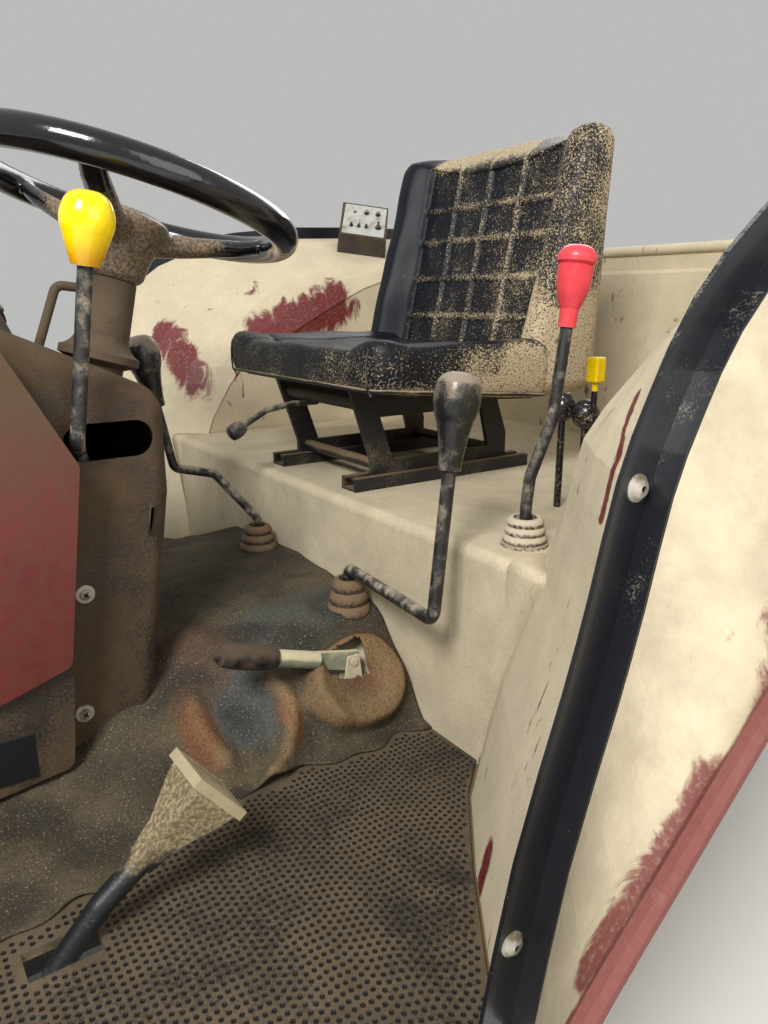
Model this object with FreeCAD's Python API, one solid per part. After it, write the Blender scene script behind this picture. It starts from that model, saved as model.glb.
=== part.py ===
import FreeCAD, Part
import math
import os

# Driver's station of a farm tractor: the floor and tunnel, the two rear wheel
# guards, the dash console with its steering wheel, the seat and the levers.
# Own frame: +X forward, +Y to the driver's left, +Z up, millimetres.
# The origin is the centre of the four mounting bolts, on the base plane.
# Heights written h are above the top of the floor mat.

Vector = FreeCAD.Vector
FIT = 0.3                # running and seating clearance
SHEET = 3.0              # floor, ledge, tunnel and wheel guard sheet

# Floor, frame and mounts
MAT_TOP = 200.0          # top of the floor mat above the base plane
MAT_T = 6.0
FLOOR_TOP = MAT_TOP - MAT_T
FRONT_X = 600.0          # front end of the station
REAR_X = -850.0          # rear end of the wheel guards
DOOR_Y = 740.0           # plane of the door frame
RAIL_TOP = FLOOR_TOP - SHEET
RAIL_BOTTOM = 88.0
RAIL_Y = 330.0           # centre line of each side rail
RAIL_W = 60.0
RAIL_WALL = 4.0
RAIL_X0 = REAR_X + 30.0
CROSS_W = 60.0
CROSS_RISE = 20.0        # underside of a cross member above a rail's
MOUNT_X = 500.0          # mounting bolts, fore and aft of the origin
MOUNT_HOLE_R = 9.0
MOUNT_PLATE_T = 8.0
MOUNT_PLATE_L = 120.0
MOUNT_PLATE_W = 100.0
MOUNT_CORNER_R = 14.0
RUBBER_R_LOW = 46.0
RUBBER_R_TOP = 29.0
RUBBER_FOOT = 14.0

# Tunnel, one row a station: x, foot y, hip (y, h), shoulder (y, h), crown h
TUNNEL_MAT_T = 8.0
TUNNEL = (
    (-75.0, 345.0, (300.0, 66.0), (240.0, 128.0), 142.0),
    (60.0, 340.0, (296.0, 60.0), (232.0, 122.0), 138.0),
    (247.0, 334.0, (205.0, 54.0), (130.0, 98.0), 108.0),
    (366.0, 403.0, (240.0, 8.0), (130.0, 30.0), 34.0),
    (FRONT_X, 408.0, (240.0, 8.0), (130.0, 30.0), 34.0),
)

# Seat ledge and rear panel
LEDGE_X = TUNNEL[0][0]   # front face of the ledge
LEDGE_H = 270.0
LEDGE_BEND = 14.0
GUARD_IN_Y = 500.0       # inner wall of the wheel guard
SIDE_GAP = 4.0           # ledge and rear panel to the plane of the inner wall
REAR_PANEL_H = 645.0
REAR_PANEL_LEAN = 26.0
REAR_FOLD = 44.0         # depth of the folded top strip
REAR_STEP = 7.0
REAR_ROLL_R = 10.0

# Wheel guards, one row a station from the floor to the rear:
# inner edge (x, y, h), door edge (x, h), bulge
GUARD = (
    ((-112, 444, -6), (150, -6), 0.6),
    ((-112, 470, 135), (119, 140), 0.35),
    ((-135, 497, 262), (78, 264), 0.2),
    ((-172, 500, 335), (57, 335), 0.45),
    ((-228, 500, 410), (36, 417), 0.9),
    ((-335, 500, 470), (10, 474), 1.0),
    ((-450, 500, 530), (-28, 534), 1.0),
    ((-550, 500, 578), (-95, 593), 1.0),
    ((-670, 500, 612), (-210, 655), 1.0),
    ((-770, 500, 632), (-500, 700), 1.0),
    ((REAR_X, 500, 640), (REAR_X, 712), 1.0),
)
GUARD_COLUMNS = ((0.0, 0.0), (0.07, 0.13), (0.21, 0.20), (0.53, 0.15), (1.0, 0.0))
GUARD_STEPS = 2          # stations made between two rows
SKIN_BACK = Vector(-2.2, 1.6, -2.2)       # from the face of the skin to its back
WALL_GAP = 4.0           # inner wall's edge behind the skin's face
WALL_IN = 2.2            # inner wall outside the skin's inner edge
LIP_Y = 840.0
GUARD_LIP = ((222, 85), (177, 136), (116, 192), (66, 238), (8, 290), (-33, 320), (-85, 350),
             (-165, 386), (-290, 414), (-540, 436), (REAR_X, 400))
LIP_R = 9.0
LIP_SIDES = 8
STRIP_W = 38.0
STRIP_T = 4.0
STRIP_LEG = 24.0
STRIP_OUT = 0.28         # share of the strip's width above the door edge
OUTER_BACK = Vector(-1.6, 0, -2.4)

# Console
CONSOLE_Y = 205.0
CONSOLE_WALL = 4.0
CONSOLE_CORNER_R = 22.0
CONSOLE_SEAM_H = 329.0
CONSOLE_FOOT = (234.0, 68.0)
CONSOLE_TOE = (348.0, 18.0)
CONSOLE_LEAN = 0.147     # how far the rear face comes back for its height
CONSOLE_REAR_X = CONSOLE_FOOT[0] - (CONSOLE_SEAM_H - CONSOLE_FOOT[1]) * CONSOLE_LEAN
COWL_BEND = 40.0
# Corners of the cowl's top line: x, height above the seam
COWL_TOP = ((CONSOLE_REAR_X - 0.6, 118.0), (361.0, 194.0), (FRONT_X, 227.0))
SLOT_R = 21.0
SLOT_X0, SLOT_X1 = 234.0, 292.0
SLOT_H = CONSOLE_SEAM_H + 69.0
PANEL_T = 3.0
PANEL_RIM = 4.5
PANEL_CORNER_R = 12.0
SIDE_PANEL_Y = 250.0
KICK_PANEL_Y = 240.0
KICK_TOP_H = 134.0
# Outlines on the console's sides: x, h
SIDE_PANEL = ((308, CONSOLE_SEAM_H + 53), (338, KICK_TOP_H + 26), (414, KICK_TOP_H + 2),
              (FRONT_X, KICK_TOP_H + 2), (FRONT_X, CONSOLE_SEAM_H + 271),
              (372, CONSOLE_SEAM_H + 177))
KICK_PANEL = ((334, KICK_TOP_H + 24), (346, 32), (440, 20), (FRONT_X, 20), (FRONT_X, KICK_TOP_H),
              (412, KICK_TOP_H))
HOOD_Y = 150.0
HOOD_WALL = 20.0
# Instrument hood, its outline and its recess: x, height above the seam
HOOD = ((338, 160), (338, 181), (362, 239), (470, 263), (540, 215), (540, 160))
HOOD_RECESS = ((334, 191), (352, 233), (344, 237), (326, 191))
BULKHEAD_LOW_H = 70.0
BULKHEAD_STEP = (420.0, 150.0)
BULKHEAD_Y = SIDE_PANEL_Y + 20.0
BULKHEAD_TOP_H = CONSOLE_SEAM_H + 269.0

# Steering wheel and column, heights t along the column's axis
WHEEL_C = (153.0, 0.0, CONSOLE_SEAM_H + 350.0)
WHEEL_TILT = 16.0
WHEEL_R = 207.0
RIM_R = 19.5
HUB_DEPTH = 108.0        # foot of the hub below the rim's centre
HUB_TOP = 16.0
COLUMN_R = 34.0
COLUMN_BORE = 12.0
COLLAR_R = 52.0
COLUMN_FOOT_T = 240.0    # collar's lower datum below the rim's centre
SPOKE_TURNS = (180.0, 60.0, -60.0)
SPOKE_GAP = 0.8          # middle of a spoke's end to the rim
# Spoke sections: reach, drop, half width, depth
SPOKE = ((30, -50, 25, 40), (90, -36, 20, 32), (160, -15, 17, 26),
         (WHEEL_R - RIM_R - SPOKE_GAP, -4, 15, 22))
BOW_R = 6.0
BOW_PATH = ((196.0, CONSOLE_SEAM_H + 233.0), (256.0, CONSOLE_SEAM_H + 240.0),
            (290.0, CONSOLE_SEAM_H + 151.0))

# Seat
SEAT_HALF = 240.0
RIDGE_Y = 200.0
CREASE_Y = 165.0
SEAT_RAIL_Y = 115.0
SEAT_RAIL_H = 20.0
SEAT_RAIL_WALL = 4.0
SEAT_GAP = 0.3
SEAT_FRAME = (-430.0, -112.0)
SEAT_PAN_Y = 200.0
# Underside of the cushion and backrest, (x, h), from the front to the rear
SEAT_UNDER = ((-98.0, 426.7), (-256.0, 408.3), (-404.0, 401.6), (-500.0, 460.8))
# Side view (x, h): centre row, then edge row
CUSHION = (
    ((-92, 428), (-78, 440), (-78, 470), (-94, 482), (-250, 478), (-419, 480), (-404, 402),
     (-256, 408.5)),
    ((-88, 428), (-76, 440), (-76, 478), (-92, 492), (-250, 492), (-372, 498), (-404, 402),
     (-256, 408.5)),
)
# Lower front, crease, face top, rear top, rear foot: centre, ridge, outer row
BACKREST = (
    ((-405, 402), (-420, 481), (-481, 768), (-528, 785), (-509, 468)),
    ((-405, 402), (-374, 499), (-468, 812), (-526, 800), (-509, 468)),
    ((-407, 404), (-392, 494), (-478, 800), (-522, 792), (-505, 470)),
)

# Levers
LEVER_R = 8.0
RANGE_R = 7.0
LIFT_R = 7.0
BALL_R = 13.7            # pivot ball at the foot of a lever
GEAR_BASE = (-40.0, 222.0)
RANGE_BASE = (-38.0, -60.0)
LIFT_BASE = (-136.0, 462.0)
GEAR_BALL_H, RANGE_BALL_H, LIFT_BALL_H = 160.0, 168.0, LEDGE_H + 16.0
GAITER_R = 33.0
LIFT_GAITER_R = 28.0
GAITER_RINGS = 3
SHUTTLE_PIVOT = (256.0, 230.0)
SHUTTLE_PIN_R = 6.0
# Lever paths, (x, y, h) from the foot up; the lift lever's h is above the ledge
GEAR_PATH = ((GEAR_BASE[0], GEAR_BASE[1], 150), (GEAR_BASE[0], GEAR_BASE[1], 190), (-17, 440, 194),
             (-43, 432, 366))
RANGE_PATH = ((RANGE_BASE[0], RANGE_BASE[1], 152), (RANGE_BASE[0], RANGE_BASE[1], 198),
              (18, -96, 274), (84, -100, 291), (104, -100, 391))
SHUTTLE_PATH = ((262, 191, 240), (294, 191, 388), (303, 228, 402), (280, 240, 583))
LIFT_PATH = ((LIFT_BASE[0], LIFT_BASE[1], 12), (LIFT_BASE[0], LIFT_BASE[1], 48), (-138, 464, 82),
             (-168, 466, 148), (-180, 468, 250))
# Knob profiles, (radius, height); four numbers are an arc through one point to another
PEAR = ((0, 0), (13, 0), (15, 24, 21, 55), (26.5, 80, 24, 97), (16, 106.5, 4, 109), (0, 109))
EGG = ((0, 0), (14, 0), (18, 11, 24, 30), (27, 46, 24, 59), (16, 69, 4, 72), (0, 72))
CAP = ((0, 0), (10, 0), (10.5, 20), (16, 34, 19.5, 54), (20, 66), (18.5, 68), (22, 71), (22, 76),
       (17, 85, 4, 89), (0, 89))
HYDRAULIC = ((-303.0, 400.0, 404.0), (-300.0, 362.0, 410.0))
HYDRAULIC_R = 5.0
HYDRAULIC_KNOB = ((0, -18), (9, -18), (18.5, -2, 13, 14), (9, 19, 3, 20), (0, 20))
LOCK_AT = (-287.0, 425.0, 465.0)
LOCK_R = 4.0
LOCK_HALF = 9.0
LOCK_RISE = 16.0

# Handbrake: pivot (x, h), and outlines measured from it
HANDBRAKE = (8.0, 96.0)
HANDBRAKE_Y = 300.0
HANDBRAKE_PIN_R = 5.0
BRACKET_IN, BRACKET_OUT = 5.0, 9.0
BRACKET_FOOT_H = 60.0
BRAKE_PLATE = ((-12, -10), (6, -13), (90, 16), (92, 34), (4, 13), (-12, 10))
BRAKE_SLEEVE = ((50, 13), (108, 32))
GRIP = ((0, 0), (13, 0), (15, 8), (16, 36, 15, 62), (13, 74), (6, 76), (6, 84), (0, 84))

# Pedals
PEDAL_SLOT = (385.0, 448.0, 36.0)      # x from, x to, width
CLUTCH_Y = 471.0
BRAKE_YS = (-430.0, -512.0)
PEDAL_PIVOT = (300.0, -75.0)
PEDAL_SHAFT_R = 10.0
PEDAL_BOSS_R = 20.0
PEDAL_BOSS_W = 36.0
PEDAL_ARM_R = 11.0
PAD_AT = (284.0, 106.0)
PAD_TILT = Vector(-0.78, 0, 0.62)
PAD_L, PAD_W, PAD_T = 66.0, 62.0, 10.0
PAD_RIM = 7.0
PAD_RECESS = 3.0
# Casting behind the pad: distance off the pad's plane, half length, half width
PEDAL_FLARE = ((-78.0, 9.5, 9.5), (-44.0, 13.0, 15.0), (-6.0, 23.0, 28.0), (6.0, 25.0, 30.0))
THROTTLE_Y = (-618.0, -582.0)
THROTTLE = ((330, 0.5), (345, 0.5), (300, 66), (288, 60))

# Switch box on the right guard: place of its front edge, and its own sizes
SWITCH_AT = (-600.0, -590.0)
SWITCH_TURN = 146.0      # direction of its width, degrees from +X
SWITCH_W = 126.0
SWITCH_D = 104.0
SWITCH_FRONT, SWITCH_BACK = 44.0, 100.0
SWITCH_TAPER = 6.0


def at(x, y, h):
    return Vector(x, y, MAT_TOP + h)


def sound(shape):
    if shape.Volume < 0:
        shape.reverse()
    return shape


def largest(shape):
    return max(shape.Solids, key=lambda solid: solid.Volume)


def box(x0, x1, y0, y1, h0, h1):
    low_y, high_y = min(y0, y1), max(y0, y1)
    return Part.makeBox(x1 - x0, high_y - low_y, h1 - h0, at(x0, low_y, h0))


def rod_across(x, h, y0, y1, radius):
    """A cylinder along Y."""
    return Part.makeCylinder(radius, abs(y1 - y0), at(x, min(y0, y1), h), Vector(0, 1, 0))


def face_of(points):
    return Part.Face(Part.makePolygon(points + [points[0]]))


def prism_side(outline, y0, y1):
    """A side view outline of (x, h) points, drawn out from y0 to y1."""
    face = face_of([at(x, y0, h) for x, h in outline])
    return sound(face.extrude(Vector(0, y1 - y0, 0)))


def prism_plan(outline, h0, h1):
    """A plan outline of (x, y) points, drawn up from h0 to h1."""
    face = face_of([at(x, y, h0) for x, y in outline])
    return sound(face.extrude(Vector(0, 0, h1 - h0)))


def ruled(sections):
    """A solid with straight rulings through like polygons."""
    wires = [Part.makePolygon(points + [points[0]]) for points in sections]
    return sound(Part.makeLoft(wires, True, True))


def smooth_row(points, steps):
    """The points of a smooth curve through a row, with steps to each run."""
    padded = [points[0] * 2 - points[1]] + points + [points[-1] * 2 - points[-2]]
    curve = []
    for p0, p1, p2, p3 in zip(padded, padded[1:], padded[2:], padded[3:]):
        for k in range(steps):
            t = k / steps
            curve.append((p1 * 2 + (p2 - p0) * t + (p0 * 2 - p1 * 5 + p2 * 4 - p3) * t * t
                          + (p1 * 3 - p0 - p2 * 3 + p3) * t * t * t) * 0.5)
    curve.append(points[-1])
    return curve


def path(points, bend):
    """Edges of straight runs joined by tangent arcs of one radius."""
    edges = []
    start = points[0]
    for before, corner, after in zip(points, points[1:], points[2:]):
        u = (before - corner).normalize()
        v = (after - corner).normalize()
        half = u.getAngle(v) / 2.0
        if abs(half - math.pi / 2) < 0.01:
            continue
        cut = bend / math.tan(half)
        mid = (u + v).normalize()
        p, q = corner + u * cut, corner + v * cut
        top = corner + mid * (bend / math.sin(half) - bend)
        if (p - start).Length > 0.01:
            edges.append(Part.LineSegment(start, p).toShape())
        edges.append(Part.Arc(p, top, q).toShape())
        start = q
    edges.append(Part.LineSegment(start, points[-1]).toShape())
    return edges


def rod(points, radius, bend=30.0):
    spine = Part.Wire(path(points, bend))
    circle = Part.makeCircle(radius, points[0], points[1] - points[0])
    return sound(spine.makePipeShell([Part.Wire([circle])], True, False))


def turned(profile, base, axis):
    """A closed profile turned about an axis. A step of two numbers is a line to that
    (radius, height); four are an arc through the first pair to the second."""
    edges = []
    here = Vector(profile[0][0], 0, profile[0][1])
    for step in tuple(profile[1:]) + (profile[0],):
        end = Vector(step[-2], 0, step[-1])
        if len(step) == 4:
            edges.append(Part.Arc(here, Vector(step[0], 0, step[1]), end).toShape())
        elif (end - here).Length > 0.001:
            edges.append(Part.LineSegment(here, end).toShape())
        here = end
    solid = Part.Face(Part.Wire(edges)).revolve(Vector(0, 0, 0), Vector(0, 0, 1), 360)
    turn = FreeCAD.Rotation(Vector(0, 0, 1), axis)
    solid.Placement = FreeCAD.Placement(base, turn)
    return sound(solid)


def fused(shapes):
    first = shapes[0]
    whole = first.multiFuse(shapes[1:]) if len(shapes) > 1 else first
    return whole.removeSplitter()


def group(shapes):
    return Part.makeCompound(shapes)


# Frame and mounts

def side_rails():
    top, bottom = RAIL_TOP - MAT_TOP, RAIL_BOTTOM - MAT_TOP
    rails = []
    for side in (1, -1):
        y0, y1 = side * RAIL_Y - RAIL_W / 2, side * RAIL_Y + RAIL_W / 2
        tube = box(RAIL_X0, FRONT_X, y0, y1, bottom, top)
        hollow = box(RAIL_X0 - 1, FRONT_X + 1, y0 + RAIL_WALL, y1 - RAIL_WALL,
                     bottom + RAIL_WALL, top - RAIL_WALL)
        rails.append(tube.cut(hollow))
    return group(rails)


def cross_members():
    """Two channels between the rails, open below."""
    top, bottom = RAIL_TOP - MAT_TOP, RAIL_BOTTOM - MAT_TOP + CROSS_RISE
    reach = RAIL_Y - RAIL_W / 2
    beams = []
    for x0 in (RAIL_X0, FRONT_X - CROSS_W):
        beam = box(x0, x0 + CROSS_W, -reach, reach, bottom, top)
        channel = box(x0 + RAIL_WALL, x0 + CROSS_W - RAIL_WALL, -reach - 1, reach + 1,
                      bottom - 1, top - RAIL_WALL)
        beams.append(beam.cut(channel))
    return group(beams)


def at_mounts(maker):
    return group([maker(x, y) for x in (MOUNT_X, -MOUNT_X) for y in (RAIL_Y, -RAIL_Y)])


def mount_plates():
    def one(x, y):
        plate = Part.makeBox(MOUNT_PLATE_L, MOUNT_PLATE_W, MOUNT_PLATE_T,
                             Vector(x - MOUNT_PLATE_L / 2, y - MOUNT_PLATE_W / 2, 0))
        upright = [edge for edge in plate.Edges if abs(edge.tangentAt(0).z) > 0.9]
        plate = plate.makeFillet(MOUNT_CORNER_R, upright)
        return plate.cut(Part.makeCylinder(MOUNT_HOLE_R, MOUNT_PLATE_T, Vector(x, y, 0)))
    return at_mounts(one)


def mount_rubbers():
    """Waisted rubbers between the plates and the rails."""
    def one(x, y):
        waist = (RUBBER_R_LOW + RUBBER_R_TOP) / 2 - 5
        height = RAIL_BOTTOM - MOUNT_PLATE_T
        profile = ((MOUNT_HOLE_R, 0), (RUBBER_R_LOW, 0), (RUBBER_R_LOW, RUBBER_FOOT),
                   (waist, height * 0.5, RUBBER_R_TOP, height), (MOUNT_HOLE_R, height))
        return turned(profile, Vector(x, y, MOUNT_PLATE_T), Vector(0, 0, 1))
    return at_mounts(one)


# Tunnel and floor

def tunnel_loft(grow, foot_h, ends=0.0):
    """The tunnel's volume, grown by a thickness and run on past its ends."""
    sections = []
    last = len(TUNNEL) - 1
    for i, (x, foot, hip, shoulder, crown) in enumerate(TUNNEL):
        x += ends if i == last else (-ends if i == 0 else 0.0)
        half = [(foot + grow, foot_h), (hip[0] + grow, hip[1] + grow * 0.6),
                (shoulder[0] + grow * 0.5, shoulder[1] + grow)]
        outline = half + [(0.0, crown + grow)] + [(-y, h) for y, h in reversed(half)]
        sections.append([at(x, y, h) for y, h in outline])
    return ruled(sections)


def tunnel_cover():
    hollow = tunnel_loft(-SHEET, -MAT_T - 2, 1.0)
    return fused([tunnel_loft(0.0, -MAT_T), handbrake_bracket()]).cut(hollow)


def ahead_of(run, limit):
    """The part of a run of points past a limit of their first value, cut there."""
    for i, (a, b) in enumerate(zip(run, run[1:])):
        if a[0] <= limit < b[0]:
            share = (limit - a[0]) / (b[0] - a[0])
            return [tuple(p + (q - p) * share for p, q in zip(a, b))] + run[i + 1:]
    return run


def floor_outline(side, inset, foot_gap):
    """Plan of one floor half, between the tunnel's foot and the guard's."""
    inner = [(x, foot + foot_gap) for x, foot, _, _, _ in TUNNEL]
    foot = [(point.x + inset, min(point.y - inset, DOOR_Y)) for point in skin_rows(1)[0]]
    outer = [(FRONT_X, DOOR_Y)] + ahead_of(foot, LEDGE_X)[::-1]
    return [(x, side * y) for x, y in inner + outer]


def pedal_slots():
    x0, x1, width = PEDAL_SLOT
    return group([box(x0, x1, y - width / 2, y + width / 2, -MAT_T - SHEET - 1, 1)
                  for y in (CLUTCH_Y,) + BRAKE_YS])


def floor_plate():
    halves = []
    for side in (1, -1):
        outline = floor_outline(side, -5.0, -22.0)
        halves.append(prism_plan(outline, -MAT_T - SHEET, -MAT_T).cut(pedal_slots()))
    return group(halves)


def floor_mat(side):
    outline = floor_outline(side, SHEET, TUNNEL_MAT_T + 2)
    return prism_plan(outline, -MAT_T, 0.0).cut(pedal_slots())


def console_volume(grow):
    """What the console and its side panels take up above the tunnel."""
    x, h = CONSOLE_FOOT
    toe_x = CONSOLE_TOE[0]
    outline = [(CONSOLE_REAR_X - grow, CONSOLE_SEAM_H), (x - grow, h - grow), (toe_x, 4 - grow),
               (FRONT_X + 1, 4 - grow), (FRONT_X + 1, CONSOLE_SEAM_H + 70),
               (CONSOLE_REAR_X - grow, CONSOLE_SEAM_H + 70)]
    wide = prism_side(outline, -CONSOLE_Y - grow, CONSOLE_Y + grow)
    return wide.fuse(box(330, FRONT_X + 1, -SIDE_PANEL_Y, SIDE_PANEL_Y, -1, 200))


def tunnel_mat():
    skin = tunnel_loft(TUNNEL_MAT_T, -MAT_T).cut(tunnel_loft(FIT, -MAT_T))
    skin = skin.cut(console_volume(FIT))
    skin = skin.cut(box(LEDGE_X - 10, LEDGE_X + FIT, -GUARD_IN_Y, GUARD_IN_Y, -20, LEDGE_H))
    for x, y in (GEAR_BASE, RANGE_BASE):
        skin = skin.cut(Part.makeCylinder(BALL_R - 1.5, 60, at(x, y, 110)))
    x, h = HANDBRAKE
    slot = box(x - 20, x + 40, HANDBRAKE_Y - BRACKET_OUT - 3, HANDBRAKE_Y + BRACKET_OUT + 3, 0, h + 14)
    return largest(skin.cut(slot))


# Ledge and rear panel

def seat_ledge():
    """One bent sheet, trimmed to the wheel guards and open over the tunnel."""
    def bent(x, h, radius):
        quarter = radius * (1 - math.sqrt(0.5))
        return [Part.Arc(at(x, 0, h - radius), at(x - quarter, 0, h - quarter),
                         at(x - radius, 0, h)).toShape()]

    def line(*ends):
        return [Part.LineSegment(*[at(x, 0, h) for x, h in ends]).toShape()]

    low, r, ri = -MAT_T, LEDGE_BEND, LEDGE_BEND - SHEET
    xi, hi = LEDGE_X - SHEET, LEDGE_H - SHEET
    edges = line((LEDGE_X, low), (LEDGE_X, LEDGE_H - r)) + bent(LEDGE_X, LEDGE_H, r)
    edges += line((LEDGE_X - r, LEDGE_H), (REAR_X, LEDGE_H)) + line((REAR_X, LEDGE_H), (REAR_X, hi))
    edges += line((REAR_X, hi), (xi - ri, hi)) + bent(xi, hi, ri)
    edges += line((xi, hi - ri), (xi, low)) + line((xi, low), (LEDGE_X, low))
    wide = Part.Face(Part.Wire(edges)).extrude(Vector(0, 2 * GUARD_IN_Y, 0))
    wide.translate(Vector(0, -GUARD_IN_Y, 0))
    side = ledge_end()
    trim = [at(REAR_X, y, h) for y, h in side + [(-y, h) for y, h in reversed(side)]]
    keep = face_of(trim).extrude(Vector(LEDGE_X - REAR_X, 0, 0))
    return sound(wide.common(keep).cut(tunnel_under()))


def ledge_end():
    """(y, h) points up the ledge's end, where its front meets the guard's skin."""
    widest = GUARD_IN_Y - SIDE_GAP
    points = []
    for row in skin_rows(1):
        run = [(p.x, p.y) for p in row]
        y = ahead_of(run, LEDGE_X - SHEET - 1)[0][1] - 3 * FIT
        if row[0].z > MAT_TOP + LEDGE_H or y >= widest:
            break
        points.append((y, row[0].z - MAT_TOP))
    y, h = points[-1]
    return points + [(widest, min(h + 60, LEDGE_H - 10)), (widest, LEDGE_H + 1)]


def tunnel_under():
    """The tunnel's inside, run through the ledge's front."""
    _, foot, hip, shoulder, crown = TUNNEL[0]
    half = [(foot - SHEET, -MAT_T - 1), (hip[0] - SHEET, hip[1]),
            (shoulder[0], shoulder[1] - SHEET)]
    outline = half + [(0.0, crown - SHEET)] + [(-y, h) for y, h in reversed(half)]
    return face_of([at(LEDGE_X - 20, y, h) for y, h in outline]).extrude(Vector(40, 0, 0))


def rear_panel():
    """A leaning sheet with a folded strip and a roll along its top."""
    half = GUARD_IN_Y - SIDE_GAP
    foot_x = REAR_X + REAR_PANEL_LEAN + SHEET
    fold_h = REAR_PANEL_H - REAR_FOLD
    front = [(foot_x, LEDGE_H), (foot_x - REAR_PANEL_LEAN + REAR_STEP, fold_h),
             (foot_x - REAR_PANEL_LEAN, fold_h + REAR_STEP),
             (foot_x - REAR_PANEL_LEAN, REAR_PANEL_H)]
    outline = front + [(x - SHEET, h) for x, h in front[::-1]]
    roll = rod_across(foot_x - REAR_PANEL_LEAN - SHEET / 2, REAR_PANEL_H, -half, half, REAR_ROLL_R)
    return fused([prism_side(outline, -half, half), roll])


# Wheel guards

def skin_rows(side):
    """Points of the guard's face, station by station, across from the inner edge."""
    columns = []
    for width, bulge_share in GUARD_COLUMNS:
        column = []
        for (xi, yi, hi), (xo, ho), bulge in GUARD:
            reach = width + bulge_share * bulge
            column.append(at(xi + (xo - xi) * reach, side * (yi + (DOOR_Y - SKIN_BACK.y - yi) * width),
                             hi + (ho - hi) * width))
        columns.append(smooth_row(column, GUARD_STEPS))
    return [list(row) for row in zip(*columns)]


def door_line():
    return smooth_row([at(x, 0, h) for _, (x, h), _ in GUARD], GUARD_STEPS)


def lip_line(side):
    return smooth_row([at(x, side * LIP_Y, h) for x, h in GUARD_LIP], GUARD_STEPS)


def edge_normals(points):
    """Directions square to a line of points, in the side view."""
    normals = []
    for i in range(len(points)):
        a = points[max(i - 1, 0)]
        b = points[min(i + 1, len(points) - 1)]
        along = (b - a).normalize()
        normals.append(Vector(-along.z, 0, along.x))
    return normals


def guard_skin(side):
    rows = skin_rows(side)
    back = Vector(SKIN_BACK.x, side * SKIN_BACK.y, SKIN_BACK.z)
    bands = []
    for k in range(len(GUARD_COLUMNS) - 1):
        sections = [[row[k], row[k + 1], row[k + 1] + back, row[k] + back] for row in rows]
        sections[0] = [Vector(p.x, p.y, FLOOR_TOP) for p in sections[0]]
        bands.append(ruled(sections))
    return fused(bands)


def guard_wall(side):
    """Inner wall of the wheel arch, behind the skin's inner edge."""
    y0 = GUARD_IN_Y + WALL_IN
    edge = []
    for row in skin_rows(1):
        _, x, z = ahead_of([(p.y, p.x, p.z) for p in row], y0 - SKIN_BACK.y)[0]
        edge.append((x - WALL_GAP, z - MAT_TOP - WALL_GAP))
    edge[0] = (edge[0][0], -MAT_T)
    edge[-1] = (REAR_X, edge[-1][1])
    return prism_side(edge + [(REAR_X, -MAT_T)], side * y0, side * (y0 + SHEET))


def door_strip(side):
    """Angle along the door edge: a flat face with a leg out at its upper edge."""
    line = door_line()
    line[0] = Vector(line[0].x, 0, FLOOR_TOP - SHEET)
    y0 = DOOR_Y + FIT
    sections = []
    for point, normal in zip(line, edge_normals(line)):
        inward, outward = normal * (-STRIP_W * (1 - STRIP_OUT)), normal * (STRIP_W * STRIP_OUT)
        under = outward - normal * STRIP_T
        outline = ((outward, y0), (inward, y0), (inward, y0 + STRIP_T), (under, y0 + STRIP_T),
                   (under, y0 + STRIP_LEG), (outward, y0 + STRIP_LEG))
        sections.append([point + shift + Vector(0, side * y, 0) for shift, y in outline])
    return ruled(sections)


def guard_outer(side):
    """Shoulder from the door strip out to the rolled lip."""
    y0 = DOOR_Y + FIT + STRIP_LEG + FIT
    near = door_line()
    sections = []
    for point, normal, lip in zip(near, edge_normals(near), lip_line(side)):
        a = point + normal * (STRIP_W * STRIP_OUT - STRIP_T / 2) + Vector(0, side * y0, 0)
        sections.append([a, lip, lip + OUTER_BACK, a + OUTER_BACK])
    return fused([ruled(sections), lip_roll(side)])


def lip_roll(side):
    line = lip_line(side)
    sections = []
    for point, normal in zip(line, edge_normals(line)):
        centre = point + Vector(0, side * (LIP_R - 2), 0)
        ring = []
        for k in range(LIP_SIDES):
            turn = 2 * math.pi * (k + 0.5) / LIP_SIDES
            ring.append(centre + normal * (LIP_R * math.cos(turn))
                        + Vector(0, LIP_R * math.sin(turn), 0))
        sections.append(ring)
    return ruled(sections)


def switch_box():
    """A wedge that stands on the right guard, with its sloped face to the driver."""
    skin = guard_skin(-1)
    turn = math.radians(SWITCH_TURN)
    across = Vector(math.cos(turn), math.sin(turn), 0)
    away = Vector(math.sin(turn), -math.cos(turn), 0) * -1
    start = Vector(SWITCH_AT[0], SWITCH_AT[1], 0) - across * (SWITCH_W / 2)
    corners = [start, start + across * SWITCH_W, start + across * SWITCH_W + away * SWITCH_D,
               start + away * SWITCH_D]
    seats = [Vector(p.x, p.y, skin_top(skin, p.x, p.y)) for p in corners]
    slope = (seats[1] - seats[0] + seats[2] - seats[3]).normalize()
    rise = (seats[3] - seats[0] + seats[2] - seats[1]).normalize()
    up = slope.cross(rise).normalize()
    up = up if up.z > 0 else up * -1
    middle = (seats[0] + seats[1] + seats[2] + seats[3]) * 0.25
    base, top = [], []
    for s, d, height in ((-1, -1, SWITCH_FRONT), (1, -1, SWITCH_FRONT), (1, 1, SWITCH_BACK),
                         (-1, 1, SWITCH_BACK)):
        foot = middle + slope * (s * SWITCH_W / 2) + rise * (d * SWITCH_D / 2)
        base.append(foot - up * SWITCH_FRONT)
        inward = slope * (-s * SWITCH_TAPER) + rise * (-d * SWITCH_TAPER)
        top.append(foot + up * height + inward)
    seat = skin.copy()
    seat.translate(Vector(0, 0, FIT))
    return largest(ruled([base, top]).cut(seat))


def skin_top(skin, x, y):
    probe = Part.makeLine(at(x, y, 0), at(x, y, 1000))
    return max(vertex.Z for vertex in skin.common(probe).Vertexes)


# Console

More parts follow.
